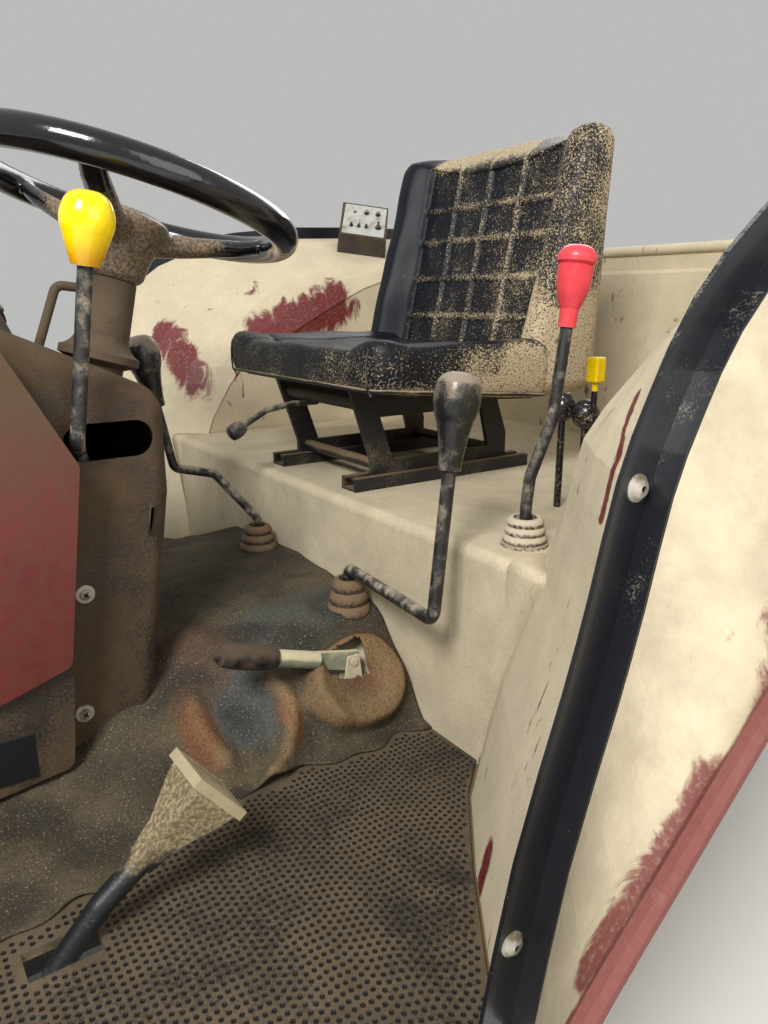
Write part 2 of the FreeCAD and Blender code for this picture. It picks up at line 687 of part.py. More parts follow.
def rounded_sides(solid, radius, chosen):
    """Round the edges in the console's two side planes that a rule picks."""
    limit = solid.BoundBox.YMax - 0.5
    edges = []
    for edge in solid.Edges:
        middle = edge.valueAt((edge.FirstParameter + edge.LastParameter) / 2)
        if abs(middle.y) > limit and chosen(middle, edge.tangentAt(edge.FirstParameter)):
            edges.append(edge)
    return solid.makeFillet(radius, edges)


def lower_solid(inset, top_h, foot_drop, ahead):
    x, h = CONSOLE_FOOT
    lean = CONSOLE_LEAN * (top_h - CONSOLE_SEAM_H)
    outline = [(x + inset, h - foot_drop), (CONSOLE_REAR_X - lean + inset, top_h),
               (FRONT_X + ahead, top_h), (FRONT_X + ahead, CONSOLE_TOE[1] - foot_drop),
               (CONSOLE_TOE[0], CONSOLE_TOE[1] - foot_drop)]
    side = CONSOLE_Y - inset
    solid = prism_side(outline, -side, side)
    return rounded_sides(solid, CONSOLE_CORNER_R - inset,
                         lambda middle, along: abs(along.z) > 0.9 and middle.x < x + 6)


def console_lower():
    """Moulded shell, open above and where it stands over the tunnel's mat."""
    shell = lower_solid(0.0, CONSOLE_SEAM_H, 0.0, 0.0)
    shell = shell.cut(lower_solid(CONSOLE_WALL, CONSOLE_SEAM_H + 3, 48.0, 1.0))
    shell = shell.cut(tunnel_loft(TUNNEL_MAT_T + FIT, -MAT_T, 2))
    x, h = SHUTTLE_PIVOT
    pin = rod_across(x, h, CONSOLE_Y - 20.5, CONSOLE_Y - 0.5, SHUTTLE_PIN_R)
    return largest(fused([shell, pin]))


def cowl_solid(inset, below, ahead):
    """The cowl's volume, drawn in by a thickness, from below the seam to its top."""
    seam = CONSOLE_SEAM_H
    (x0, rise0), (x1, rise1), (x2, rise2) = COWL_TOP
    corners = [(CONSOLE_REAR_X + inset, seam - below), (x0 + inset, seam + rise0 - inset * 0.64),
               (x1, seam + rise1 - inset * 1.06), (x2 + ahead, seam + rise2 - inset)]
    edges = path([at(x, 0, h) for x, h in corners], COWL_BEND - inset)
    front = at(x2 + ahead, 0, seam - below)
    edges.append(Part.LineSegment(at(*[x2 + ahead, 0, seam + rise2 - inset]), front).toShape())
    edges.append(Part.LineSegment(front, at(corners[0][0], 0, corners[0][1])).toShape())
    side = CONSOLE_Y - inset
    solid = sound(Part.Face(Part.Wire(edges)).extrude(Vector(0, 2 * side, 0)))
    solid.translate(Vector(0, -side, 0))
    return rounded_sides(solid, CONSOLE_CORNER_R - inset,
                         lambda middle, along: middle.z > MAT_TOP + seam - below + 1
                         and middle.x < x2 + ahead - 1)


def wheel_axis():
    tilt = math.radians(WHEEL_TILT)
    return Vector(-math.sin(tilt), 0, math.cos(tilt))


def below_wheel(t):
    return at(*WHEEL_C) - wheel_axis() * t


def console_cowl():
    """Upper shell with a round-ended slot in each side and the column's passage."""
    shell = cowl_solid(0.0, 0.0, 0.0).cut(cowl_solid(CONSOLE_WALL, 2.0, 1.0))
    reach = CONSOLE_Y + 30
    ends = [rod_across(x, SLOT_H, CONSOLE_Y - 30, reach, SLOT_R) for x in (SLOT_X0, SLOT_X1)]
    middle = box(SLOT_X0, SLOT_X1, CONSOLE_Y - 30, reach, SLOT_H - SLOT_R, SLOT_H + SLOT_R)
    shell = shell.cut(fused(ends + [middle]))
    foot = COLUMN_FOOT_T + 80
    return shell.cut(Part.makeCylinder(COLUMN_R + FIT, 200, below_wheel(foot), wheel_axis()))


def instrument_panel():
    """Hood that stands on the cowl, with its face sunk towards the driver."""
    seam = CONSOLE_SEAM_H
    hood = prism_side([(x, seam + rise) for x, rise in HOOD], -HOOD_Y, HOOD_Y)
    recess = prism_side([(x, seam + rise) for x, rise in HOOD_RECESS], -HOOD_Y + HOOD_WALL,
                        HOOD_Y - HOOD_WALL)
    return largest(hood.cut(cowl_solid(-FIT, 0.0, 1.0)).cut(recess))


def panel_pan(outline, side, y_out):
    """A shallow pressed pan with round corners, off the console's side."""
    y_in = CONSOLE_Y + FIT
    centre_x = sum(x for x, _ in outline) / len(outline)
    centre_h = sum(h for _, h in outline) / len(outline)
    hollow = []
    for x, h in outline:
        dx, dh = centre_x - x, centre_h - h
        reach = math.hypot(dx, dh)
        hollow.append((x + dx / reach * PANEL_RIM, h + dh / reach * PANEL_RIM))
    outer = round_corners(prism_side(outline, side * y_in, side * y_out), PANEL_CORNER_R)
    inner = prism_side(hollow, side * (y_in - 1), side * (y_out - PANEL_T))
    return outer.cut(round_corners(inner, PANEL_CORNER_R - PANEL_T))


def round_corners(solid, radius):
    """Round the corners that stand behind the front end."""
    edges = [edge for edge in solid.Edges
             if abs(edge.tangentAt(edge.FirstParameter).y) > 0.9 and edge.valueAt(0).x < FRONT_X - 20]
    return solid.makeFillet(radius, edges)


def side_panel(side):
    return panel_pan(SIDE_PANEL, side, SIDE_PANEL_Y)


def kick_panel(side):
    return panel_pan(KICK_PANEL, side, KICK_PANEL_Y)


def bulkhead():
    """Front sheet, stepped up to the console, with the tunnel's opening."""
    low = -MAT_T
    step_y, step_h = BULKHEAD_STEP
    half = [(DOOR_Y, low), (DOOR_Y, BULKHEAD_LOW_H), (step_y, step_h), (BULKHEAD_Y, CONSOLE_SEAM_H),
            (BULKHEAD_Y, BULKHEAD_TOP_H)]
    outline = half + [(-y, h) for y, h in reversed(half)]
    face = face_of([at(FRONT_X + FIT, y, h) for y, h in outline])
    plate = face.extrude(Vector(SHEET, 0, 0))
    return sound(plate.cut(box(FRONT_X - 10, FRONT_X + 10, -120, 120, low - 1, 30)))


# Steering column and wheel

def shroud_solid(bore, grow):
    """Column tube with its collar, from below the cowl's top to the hub's foot."""
    top = COLUMN_FOOT_T - HUB_DEPTH - FIT
    r = COLUMN_R + grow
    profile = ((bore, -44), (r, -44), (r, 18), (COLLAR_R + grow, 26), (COLLAR_R + grow, 36),
               (r + 6, 44, r, 62), (r - 4, top), (bore, top))
    return turned(profile, below_wheel(COLUMN_FOOT_T), wheel_axis())


def column_shroud():
    return shroud_solid(COLUMN_BORE, 0.0)


def column_bow():
    """Bent rod from the shroud down to the cowl's top."""
    bow = rod([at(x, 0, h) for x, h in BOW_PATH], BOW_R, 2 * BOW_R)
    return largest(bow.cut(shroud_solid(COLUMN_BORE - 4, FIT)).cut(cowl_solid(-FIT, 0.0, 1.0)))


def steering_hub():
    cup = turned(((0, -HUB_DEPTH), (30, -HUB_DEPTH), (38, -100), (42, -76, 58, -36), (58, -27),
                  (40, -18, 8, -HUB_TOP), (0, -HUB_TOP)), at(*WHEEL_C), wheel_axis())
    return fused([cup] + [spoke(math.radians(turn)) for turn in SPOKE_TURNS])


def spoke(turn):
    """One arm, deeper at the hub, that meets the rim's centre line."""
    tilt = math.radians(WHEEL_TILT)
    ahead = Vector(math.cos(tilt), 0, math.sin(tilt))
    out = ahead * math.cos(turn) + Vector(0, math.sin(turn), 0)
    across = wheel_axis().cross(out)
    sections = []
    for reach, drop, half, deep in SPOKE:
        centre = at(*WHEEL_C) + out * reach + wheel_axis() * drop
        ring = []
        for k in range(8):
            a = 2 * math.pi * (k + 0.5) / 8
            ring.append(centre + across * (half * math.cos(a))
                        + wheel_axis() * (deep / 2 * math.sin(a)))
        sections.append(ring)
    return ruled(sections)


def steering_rim():
    return sound(Part.makeTorus(WHEEL_R, RIM_R, at(*WHEEL_C), wheel_axis()))


# Seat

def seat_rails():
    """Two lipped channels on the ledge."""
    rear, front = SEAT_FRAME[0] - 40, SEAT_FRAME[1] + 2
    wall = SEAT_RAIL_WALL
    pieces = []
    for y in (SEAT_RAIL_Y, -SEAT_RAIL_Y):
        channel = box(rear, front, y - 20, y + 20, LEDGE_H, LEDGE_H + SEAT_RAIL_H)
        channel = channel.cut(box(rear - 1, front + 1, y - 14, y + 14, LEDGE_H + wall,
                                  LEDGE_H + SEAT_RAIL_H - wall))
        pieces.append(channel.cut(box(rear - 1, front + 1, y - 7, y + 7,
                                      LEDGE_H + SEAT_RAIL_H - wall - 1, LEDGE_H + SEAT_RAIL_H + 1)))
    return group(pieces)


def under_seat(x, drop):
    """Height of the seat's underside at x, less a drop."""
    for (x0, h0), (x1, h1) in zip(SEAT_UNDER, SEAT_UNDER[1:]):
        if x1 <= x <= x0:
            return h0 + (h1 - h0) * (x - x0) / (x1 - x0) - drop
    return SEAT_UNDER[0][1] - drop


def seat_frame():
    """Slider feet, two side plates and their cross tubes."""
    pieces = []
    drop = SEAT_GAP + SHEET + FIT + 0.4
    rear, front = SEAT_FRAME
    top = [(x, under_seat(x, drop)) for x in (front, SEAT_UNDER[1][0], SEAT_UNDER[2][0])]
    foot = LEDGE_H + SEAT_RAIL_WALL + FIT
    for y in (SEAT_RAIL_Y, -SEAT_RAIL_Y):
        pieces.append(box(rear, front - 38, y - 12, y + 12, foot, LEDGE_H + 14))
        outline = [(rear, LEDGE_H + 13), (front - 38, LEDGE_H + 13), (front - 38, LEDGE_H + 40)] + top
        outline += [(rear, LEDGE_H + 60)]
        plate = prism_side(outline, y - 4, y + 4)
        window = [(rear + 40, LEDGE_H + 40), (front - 78, LEDGE_H + 40), (front - 54, 378),
                  (rear + 58, 378)]
        pieces.append(plate.cut(prism_side(window, y - 5, y + 5)))
    for x, h in ((front - 23, 398), (rear + 40, 386), (front - 58, LEDGE_H + 31),
                 (rear + 14, LEDGE_H + 31)):
        pieces.append(rod_across(x, h, -SEAT_RAIL_Y, SEAT_RAIL_Y, 9))
    return fused(pieces)


def seat_pan():
    """Pressed sheet under the cushion that turns up behind the backrest."""
    top = [(x, h - SEAT_GAP) for x, h in SEAT_UNDER]
    low = [(x - 0.6, h - SHEET) for x, h in top]
    return prism_side(top + low[::-1], -SEAT_PAN_Y, SEAT_PAN_Y)


def seat_cushion():
    centre, edge = CUSHION
    sections = []
    for y, row in ((-SEAT_HALF, edge), (-RIDGE_Y, edge), (-CREASE_Y, centre),
                   (CREASE_Y, centre), (RIDGE_Y, edge), (SEAT_HALF, edge)):
        sections.append([at(x, y, h) for x, h in row])
    return ruled(sections).cut(backrest_body(SEAT_GAP))


def backrest_body(grow):
    centre, ridge, outer = BACKREST
    sections = []
    for y, row in ((-SEAT_HALF - grow, outer), (-RIDGE_Y, ridge), (-CREASE_Y, centre),
                   (CREASE_Y, centre), (RIDGE_Y, ridge), (SEAT_HALF + grow, outer)):
        sections.append([at(x + grow, y, h) for x, h in row])
    return ruled(sections)


def seat_backrest():
    return backrest_body(0.0)


def seat_lever():
    """Slide release that comes out under the cushion's front."""
    arm = rod([at(-160, -60, 383.7), at(-112, -60, 383.7), at(-64, -62, 376), at(-20, -64, 352)],
              5.0, 12.0)
    knob = turned(((0, 0), (9, 0), (13.5, 14, 12, 26), (8, 29, 3, 30), (0, 30)), at(-24, -64, 354),
                  Vector(0.9, 0, -0.44))
    return fused([arm, knob])


# Levers

def knob_on(line, profile):
    """A turned knob seated on the end of a lever's path."""
    axis = (line[-1] - line[-2]).normalize()
    return turned(profile, line[-1] + axis * FIT, axis)


def gaiter(centre, h0, radius, top_h):
    """Ringed rubber boot round a lever's ball."""
    bore, foot = BALL_R + FIT, 4.0
    step = (top_h - h0 - foot) / GAITER_RINGS
    taper = (radius - bore - 7) / GAITER_RINGS
    profile = [(bore, 0), (radius, 0), (radius, foot), (radius - 3, foot)]
    for k in range(GAITER_RINGS):
        low = foot + k * step
        waist = radius - 3 - (k + 1) * taper
        profile.append((waist + taper + 1.5, low + step * 0.45, waist, low + step))
    profile.append((bore, foot + GAITER_RINGS * step))
    return turned(profile, at(centre[0], centre[1], h0), Vector(0, 0, 1))


def lever_gaiters():
    mat = tunnel_loft(TUNNEL_MAT_T + FIT, -MAT_T, 2)
    pieces = [gaiter(GEAR_BASE, GEAR_BALL_H - 42, GAITER_R, GEAR_BALL_H + 16).cut(mat),
              gaiter(RANGE_BASE, RANGE_BALL_H - 30, GAITER_R, RANGE_BALL_H + 18).cut(mat),
              gaiter(LIFT_BASE, LEDGE_H, LIFT_GAITER_R, LIFT_BALL_H + 18)]
    return group([largest(piece) for piece in pieces])


def lever_line(points, lift=0.0):
    return [at(x, y, h + lift) for x, y, h in points]


def on_ball(line, radius, bend, h):
    """A bent lever on a pivot ball at height h of its upright foot."""
    centre = Vector(line[0].x, line[0].y, MAT_TOP + h)
    return fused([rod(line, radius, bend), Part.makeSphere(BALL_R, centre)])


def gear_lever():
    return on_ball(lever_line(GEAR_PATH), LEVER_R, 12, GEAR_BALL_H)


def range_lever():
    return on_ball(lever_line(RANGE_PATH), RANGE_R, 14, RANGE_BALL_H)


def lift_lever():
    return on_ball(lever_line(LIFT_PATH, LEDGE_H), LIFT_R, 16, LIFT_BALL_H)


def shuttle_lever():
    """Bent lever on a boss that turns on the console's pin."""
    x, h = SHUTTLE_PIVOT
    y = CONSOLE_Y - 14
    bore = rod_across(x, h, y - 20, y + 20, SHUTTLE_PIN_R + FIT)
    boss = rod_across(x, h, y - 6.5, y + 6.5, SHUTTLE_PIN_R + 8)
    return fused([boss.cut(bore), rod(lever_line(SHUTTLE_PATH), LEVER_R, 10).cut(bore)])


def handbrake_bracket():
    """Two small ears and the pin between them."""
    x, h = HANDBRAKE
    outline = [(x - 15, BRACKET_FOOT_H), (x + 15, BRACKET_FOOT_H), (x + 8, h + 8), (x - 8, h + 8)]
    ears = [prism_side(outline, HANDBRAKE_Y + y0, HANDBRAKE_Y + y1)
            for y0, y1 in ((BRACKET_IN, BRACKET_OUT), (-BRACKET_OUT, -BRACKET_IN))]
    pin = rod_across(x, h, HANDBRAKE_Y - BRACKET_OUT - 2, HANDBRAKE_Y + BRACKET_OUT + 2,
                     HANDBRAKE_PIN_R)
    return fused(ears + [pin])


def handbrake_lever():
    x, h = HANDBRAKE
    plate = prism_side([(x + dx, h + dh) for dx, dh in BRAKE_PLATE], HANDBRAKE_Y - 4, HANDBRAKE_Y + 4)
    sleeve = rod([at(x + dx, HANDBRAKE_Y, h + dh) for dx, dh in BRAKE_SLEEVE], 11)
    bore = rod_across(x, h, HANDBRAKE_Y - 20, HANDBRAKE_Y + 20, HANDBRAKE_PIN_R + FIT)
    return fused([plate, sleeve]).cut(bore)


def handbrake_grip():
    x, h = HANDBRAKE
    line = [at(x + dx, HANDBRAKE_Y, h + dh) for dx, dh in BRAKE_SLEEVE]
    return knob_on(line, GRIP)


def hydraulic_levers():
    """Two short knobs and the tall lock lever beside them, on the ledge."""
    pieces = []
    for x, y, h in HYDRAULIC:
        stalk = Part.makeCylinder(HYDRAULIC_R, h - LEDGE_H - 14, at(x, y, LEDGE_H + FIT))
        pieces.append(fused([stalk, turned(HYDRAULIC_KNOB, at(x, y, h), Vector(0, 0, 1))]))
    x, y, h = LOCK_AT
    stalk = Part.makeCylinder(LOCK_R, h - LEDGE_H - FIT, at(x, y, LEDGE_H + FIT))
    block = box(x - LOCK_HALF, x + LOCK_HALF, y - LOCK_HALF, y + LOCK_HALF, h - LOCK_RISE, h + LOCK_RISE)
    return group(pieces + [fused([stalk, block.makeFillet(3, block.Edges)])])


# Pedals

def pedal_shafts():
    x, h = PEDAL_PIVOT
    y0 = RAIL_Y + RAIL_W / 2
    reach = PEDAL_BOSS_W / 2 + 20
    return group([rod_across(x, h, y0, CLUTCH_Y + reach, PEDAL_SHAFT_R),
                  rod_across(x, h, -y0, BRAKE_YS[1] - reach, PEDAL_SHAFT_R)])


def pad_corners(y, off, half_length, half_width):
    """Four corners square to the foot, at a distance off the pad's plane."""
    normal = Vector(PAD_TILT).normalize()
    up = Vector(0, 1, 0).cross(normal).normalize()
    centre = at(PAD_AT[0], y, PAD_AT[1]) + normal * off
    return [centre + up * (s * half_length) + Vector(0, t * half_width, 0)
            for s, t in ((1, 1), (1, -1), (-1, -1), (-1, 1))]


def pedal_arm(y):
    """Boss, bent arm and the flared casting that carries the pad."""
    x, h = PEDAL_PIVOT
    boss = rod_across(x, h, y - PEDAL_BOSS_W / 2, y + PEDAL_BOSS_W / 2, PEDAL_BOSS_R)
    neck = at(PAD_AT[0], y, PAD_AT[1]) + Vector(PAD_TILT).normalize() * (PEDAL_FLARE[0][0] + 12)
    arm = rod([at(x + 10, y, h), at(402, y, h + 4), at(430, y, -22), at(382, y, 30), neck],
              PEDAL_ARM_R, 20)
    flare = ruled([pad_corners(y, *row) for row in PEDAL_FLARE])
    bore = rod_across(x, h, y - 30, y + 30, PEDAL_SHAFT_R + FIT)
    return fused([boss, arm, flare]).cut(bore)


def pedal_pad(y):
    """Pad with a raised rim, on the casting's face."""
    low = PEDAL_FLARE[-1][0]
    pad = ruled([pad_corners(y, off, PAD_L / 2, PAD_W / 2) for off in (low, low + PAD_T)])
    floor, over = low + PAD_T - PAD_RECESS, low + PAD_T + 1
    recess = ruled([pad_corners(y, off, PAD_L / 2 - PAD_RIM, PAD_W / 2 - PAD_RIM)
                    for off in (floor, over)])
    return pad.cut(recess)


def foot_throttle():
    return prism_side(THROTTLE, *THROTTLE_Y)


# Every piece, by node name

def build():
    pieces = {
        "side_rails": side_rails(),
        "cross_members": cross_members(),
        "mount_plates": mount_plates(),
        "mount_rubbers": mount_rubbers(),
        "floor_plate": floor_plate(),
        "floor_mat_left": floor_mat(1),
        "floor_mat_right": floor_mat(-1),
        "tunnel_cover": tunnel_cover(),
        "tunnel_mat": tunnel_mat(),
        "seat_ledge": seat_ledge(),
        "rear_panel": rear_panel(),
        "bulkhead": bulkhead(),
        "console_lower": console_lower(),
        "console_cowl": console_cowl(),
        "instrument_panel": instrument_panel(),
        "column_shroud": column_shroud(),
        "column_bow": column_bow(),
        "steering_rim": steering_rim(),
        "steering_hub": steering_hub(),
        "seat_rails": seat_rails(),
        "seat_frame": seat_frame(),
        "seat_pan": seat_pan(),
        "seat_cushion": seat_cushion(),
        "seat_backrest": seat_backrest(),
        "seat_lever": seat_lever(),
        "lever_gaiters": lever_gaiters(),
        "gear_lever": gear_lever(),
        "gear_knob": knob_on(lever_line(GEAR_PATH), PEAR),
        "range_lever": range_lever(),
        "range_knob": knob_on(lever_line(RANGE_PATH), PEAR),
        "shuttle_lever": shuttle_lever(),
        "shuttle_knob": knob_on(lever_line(SHUTTLE_PATH), EGG),
        "handbrake_lever": handbrake_lever(),
        "handbrake_grip": handbrake_grip(),
        "lift_lever": lift_lever(),
        "lift_knob": knob_on(lever_line(LIFT_PATH, LEDGE_H), CAP),
        "hydraulic_levers": hydraulic_levers(),
        "switch_box": switch_box(),
        "pedal_shafts": pedal_shafts(),
        "clutch_pedal": pedal_arm(CLUTCH_Y),
        "clutch_pad": pedal_pad(CLUTCH_Y),
        "brake_pedal_left": pedal_arm(BRAKE_YS[0]),
        "brake_pad_left": pedal_pad(BRAKE_YS[0]),
        "brake_pedal_right": pedal_arm(BRAKE_YS[1]),
        "brake_pad_right": pedal_pad(BRAKE_YS[1]),
        "foot_throttle": foot_throttle(),
    }
    for name, side in (("left", 1), ("right", -1)):
        pieces["guard_skin_" + name] = guard_skin(side)
        pieces["guard_wall_" + name] = guard_wall(side)
        pieces["door_strip_" + name] = door_strip(side)
        pieces["guard_outer_" + name] = guard_outer(side)
        pieces["side_panel_" + name] = side_panel(side)
        pieces["kick_panel_" + name] = kick_panel(side)
    return pieces


def main():
    os.makedirs("parts", exist_ok=True)
    for name, shape in build().items():
        shape.exportStep("parts/" + name + ".step")
        valid = "ok" if shape.isValid() else "NOT VALID"
        print(name, valid, len(shape.Solids), "solids", round(shape.Volume / 1000.0, 1), "cm3")


main()
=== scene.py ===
import math

import bpy
import numpy as np
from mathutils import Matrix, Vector
from mathutils.bvhtree import BVHTree


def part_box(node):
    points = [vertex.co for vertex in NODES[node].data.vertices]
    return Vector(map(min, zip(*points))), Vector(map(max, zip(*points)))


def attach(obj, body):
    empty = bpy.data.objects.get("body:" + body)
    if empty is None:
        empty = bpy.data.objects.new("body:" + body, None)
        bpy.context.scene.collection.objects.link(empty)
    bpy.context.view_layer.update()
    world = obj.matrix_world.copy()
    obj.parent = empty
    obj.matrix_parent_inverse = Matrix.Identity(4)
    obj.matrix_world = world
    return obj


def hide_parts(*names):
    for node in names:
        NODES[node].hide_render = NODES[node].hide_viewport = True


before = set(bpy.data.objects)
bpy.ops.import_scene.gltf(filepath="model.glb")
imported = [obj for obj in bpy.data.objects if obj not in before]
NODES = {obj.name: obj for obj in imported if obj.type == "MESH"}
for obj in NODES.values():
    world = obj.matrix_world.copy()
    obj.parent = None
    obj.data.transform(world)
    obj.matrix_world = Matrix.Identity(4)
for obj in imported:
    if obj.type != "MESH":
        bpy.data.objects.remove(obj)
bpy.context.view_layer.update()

# Looks of a farm tractor's driver's station, in the frame's own axes: +X forward,
# +Y to the driver's left, +Z up. Sizes are millimetres, and a point (x, y, h) has
# its h above the top of the floor mat. Blender's own places are metres.

MM = 0.001
MAT_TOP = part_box("floor_mat_left")[1].z

# Camera and light

CAMERA_AT = (0.500, 1.080, 0.750)  # metres
CAMERA_TURN = 35.0  # degrees from -Y towards -X
CAMERA_DROP = 15.4  # degrees below level
FOCAL_PX = 769.0
FRAME_HEIGHT_PX = 1024.0
SENSOR = 36.0
LAMPS = (
    # name, place, aimed at, size in metres, watts
    ("key", (2.3, 1.9, 2.9), (-0.1, 0.1, 0.4), 1.1, 150.0),
    ("fill", (-0.4, 3.2, 1.6), (0.0, 0.0, 0.4), 2.4, 36.0),
    ("rear", (-2.6, -1.8, 2.6), (0.0, 0.0, 0.5), 2.0, 50.0),
)
WORLD_LIGHT = (0.50, 0.50, 0.49, 1.0)
FLOOR_SIZE = 14.0  # metres
FLOOR_TONES = ((0.60, 0.59, 0.57, 1.0), (0.66, 0.65, 0.63, 1.0))

# Seat pads

PAD_COUNTS = (230, 190)  # points across and along
PAD_CROWD = 0.45  # how far they crowd towards the edges
ROLL_POWER = 2.5
TINY = 1e-9

BACK_CORNER, BACK_ROLL = 30.0, 26.0
BACK_LEAN = 0.2125  # rearward for each height
BACK_CREASE = (-420.0, 481.0)  # x, h where it meets the cushion
BOLSTER_IN, BOLSTER_RIDGE = 160.0, 203.0  # distance from the middle
BOLSTER_PROUD, BOLSTER_THINS = 46.0, 24.0
BOLSTER_HOLDS, PANEL_HOLDS = 0.75, 0.6  # shares of the roll and the waves that they stop
PANEL_SINK = 7.0
PANEL_EDGE = 165.0
PANEL_TOP_H, PANEL_TOP_CURVE = 768.0, 22.0
PANEL_STEP, PANEL_TOP_STEP = 3.0, 4.0
RIB_YS = (-82.0, 0.0, 82.0)
RIB_HS = (712.0, 655.0, 589.0, 523.0, 470.0)
RIB_HALF, RIB_RISE = 7.0, 6.0
CROSS_RIB_HALF, CROSS_RIB_RISE = 7.5, 3.5
TOP_ROLL_BACK, TOP_ROLL_POWER = 36.0, 1.4
BACK_THINNEST = 12.0
BACK_SHELL_IN, BACK_SHELL_LEAN = 3.0, -0.02
BACK_WAVES = ((1.2, 31, 47), (0.8, 17, -29))  # size, lengths along and across
BACK_DUST = (
    # amount, then what limits it: way, none at, full at
    (0.08,),
    (0.12, ("left", -60, 140)),
    (0.08, ("left", 150, 200)),
    (0.55, ("left", 150, 200), ("rise", 0.52, 0.10)),
    (0.50, ("left", 110, 60), ("left", -175, -150), ("h", 770, 796)),
    (0.10, ("left", 150, 200), ("in", 60, 10)),
    (-0.22, ("left", -130, -200)),
)
# Sand on the ribs' crests, which also stands for a painted highlight along them.
RIB_DUST_AND_HIGHLIGHT = ((0.18, ("across", 165, 157), ("ahead", -40, -20)),)

CUSHION_CORNER, CUSHION_ROLL = 34.0, 19.0
CUSHION_TOP = 479.0
SIDE_RISE, SIDE_FROM, SIDE_TO = 13.0, 140.0, 205.0
FRONT_RISE, FRONT_FROM, FRONT_TO = 5.0, 70.0, 25.0  # back from the front
CREASE_Y, CREASE_DEPTH, CREASE_HALF = 160.0, 3.0, 9.0
CROSS_CREASE_IN, CROSS_CREASE_DEPTH, CROSS_CREASE_HALF = 60.0, 1.5, 8.0
UNDER_LOW, UNDER_RISE, UNDER_POWER = 403.0, 24.0, 1.25
UNDER_FROM, UNDER_TO = -404.0, -98.0
CUSHION_WAVES = ((1.0, 23, 41), (0.9, -37, 19))
CUSHION_DUST = (
    (0.05,),
    (0.08, ("ahead", -24, -6)),
    (0.30, ("h", 444, 424)),
    (0.10, ("left", 226, 242)),
    (0.28, ("left", 226, 242), ("x", -190, -290)),
    (0.16, ("left", 150, 220), ("x", -260, -350)),
)
PIPING_R, PIPING_IN, PIPING_UP = 2.6, 5.0, 4.5
SEAM_Y, SEAM_R = 215.0, 1.6
SEAM_LINE = ((-7.5, 424), (-1.6, 434), (-0.2, 448), (-0.2, 466), (-2.4, 480), (-9, 490))  # x, h

# Mat over the tunnel

TUNNEL = (
    # x, foot y, hip y, hip h, shoulder y, shoulder h, crown h
    (-75.0, 345.0, 300.0, 66.0, 240.0, 128.0, 142.0),
    (60.0, 340.0, 296.0, 60.0, 232.0, 122.0, 138.0),
    (247.0, 334.0, 205.0, 54.0, 130.0, 98.0, 108.0),
    (366.0, 403.0, 240.0, 8.0, 130.0, 30.0, 34.0),
    (600.0, 408.0, 240.0, 8.0, 130.0, 30.0, 34.0),
)
MAT_STATIONS = 170
MAT_HALF_POINTS = 96
MAT_INSET = (1.5, 2.0)  # from the tunnel's rear and front end
SHEET_T = 3.0
COVER_GROW = 8.0  # face of the mat off the tunnel cover
BEND_REACH, BEND_SHARE = 24.0, 0.45
FLANGE, FLANGE_HS = 15.0, (5.0, 3.6)
FLANGE_WAVES = ((7.0, 23.0, 0.0), (5.0, 11.0, 1.0))  # size, length, start
FOLDS = (
    # line of (x, distance down from the crown), height, half width
    (((113, 284), (105, 302), (101, 324), (109, 348), (125, 371), (152, 392)), 15.0, 17.0),
    (((205, 246), (207, 290), (200, 340)), 11.0, 20.0),
    (((140, 120), (70, 178), (-10, 214)), 5.0, 22.0),
    (((60, 300), (66, 330), (52, 372)), 7.0, 14.0),
    (((-70, 40), (-40, 120), (10, 168)), 5.0, 26.0),
    (((178, 150), (150, 214), (128, 250)), 6.0, 18.0),
    (((250, 120), (290, 220), (300, 330)), 5.0, 26.0),
    (((330, 60), (430, 120), (560, 150)), 4.0, 30.0),
)
RIGHT_FOLDS_FROM, RIGHT_FOLDS_SHARE = 250.0, 0.9  # where the right side's folds lie
MAT_WAVES = ((1.3, 19, 33), (1.0, -41, 14))
WAVES_START = (60.0, 200.0)  # distances down from the crown
LOBE_AT = (-10.0, 334.0)  # raised place round the handbrake
LOBE_BACK, LOBE_AHEAD, LOBE_HALF = 55.1, 98.6, 64.0
LOBE_RISE, LOBE_DISH = 17.0, 0.45
GAITERS = ((-40.0, 222.0), (-38.0, 60.0))
GAITER_CLEAR = (38.0, 66.0)
LAID_FLAT = (440.0, 395.0)  # the folds run out between these distances
RELIEF_GAIN = 1.35
RELIEF_FULL = 20.0
HAND_SLOT = (-14.0, 50.0, 287.0, 313.0)  # x from, x to, y from, y to
CONSOLE_FOOT = (234.0, 68.0)  # x, h of the console's rear edge
CONSOLE_TOE = (348.0, 18.0)
CONSOLE_LEAN = 0.147
CONSOLE_DEEP = 9.0  # the mat runs this far in under the console

# Closing plates between the ledge and the guards

CLOSING_T = 1.6
CLOSING_UNDER = 0.3  # their face below the ledge's own face
CLOSING_IN = 60.0  # how far they run in behind the ledge
CLOSING_OVER = 1.0  # and into the guard's skin
CLOSING_BACK = 90.0  # along the ledge's top
CLOSING_FOOT = 0.5
CLOSING_LOOK = (380.0, 250.0)  # y that the skin is looked for from, and how far
CLOSING_COUNTS = (18, 8, 10)  # points up the front, round the bend and back
LEDGE_BEND = 14.0

# Steering wheel, studs and screws

WHEEL_VOXEL = 2.6
WHEEL_SMOOTHING = 10

STUD_PITCH = 8.8
STUD_PROFILE = ((2.7, -0.3), (2.0, 1.3))  # radius, h
STUD_SIDES = 6
STUD_EDGE = 6.0  # kept clear of the mat's edges
STUD_START = 9.0  # and of the draped mat's
STUD_LOOK = (5.0, 8.0)  # h that the mat is looked for from, and how far

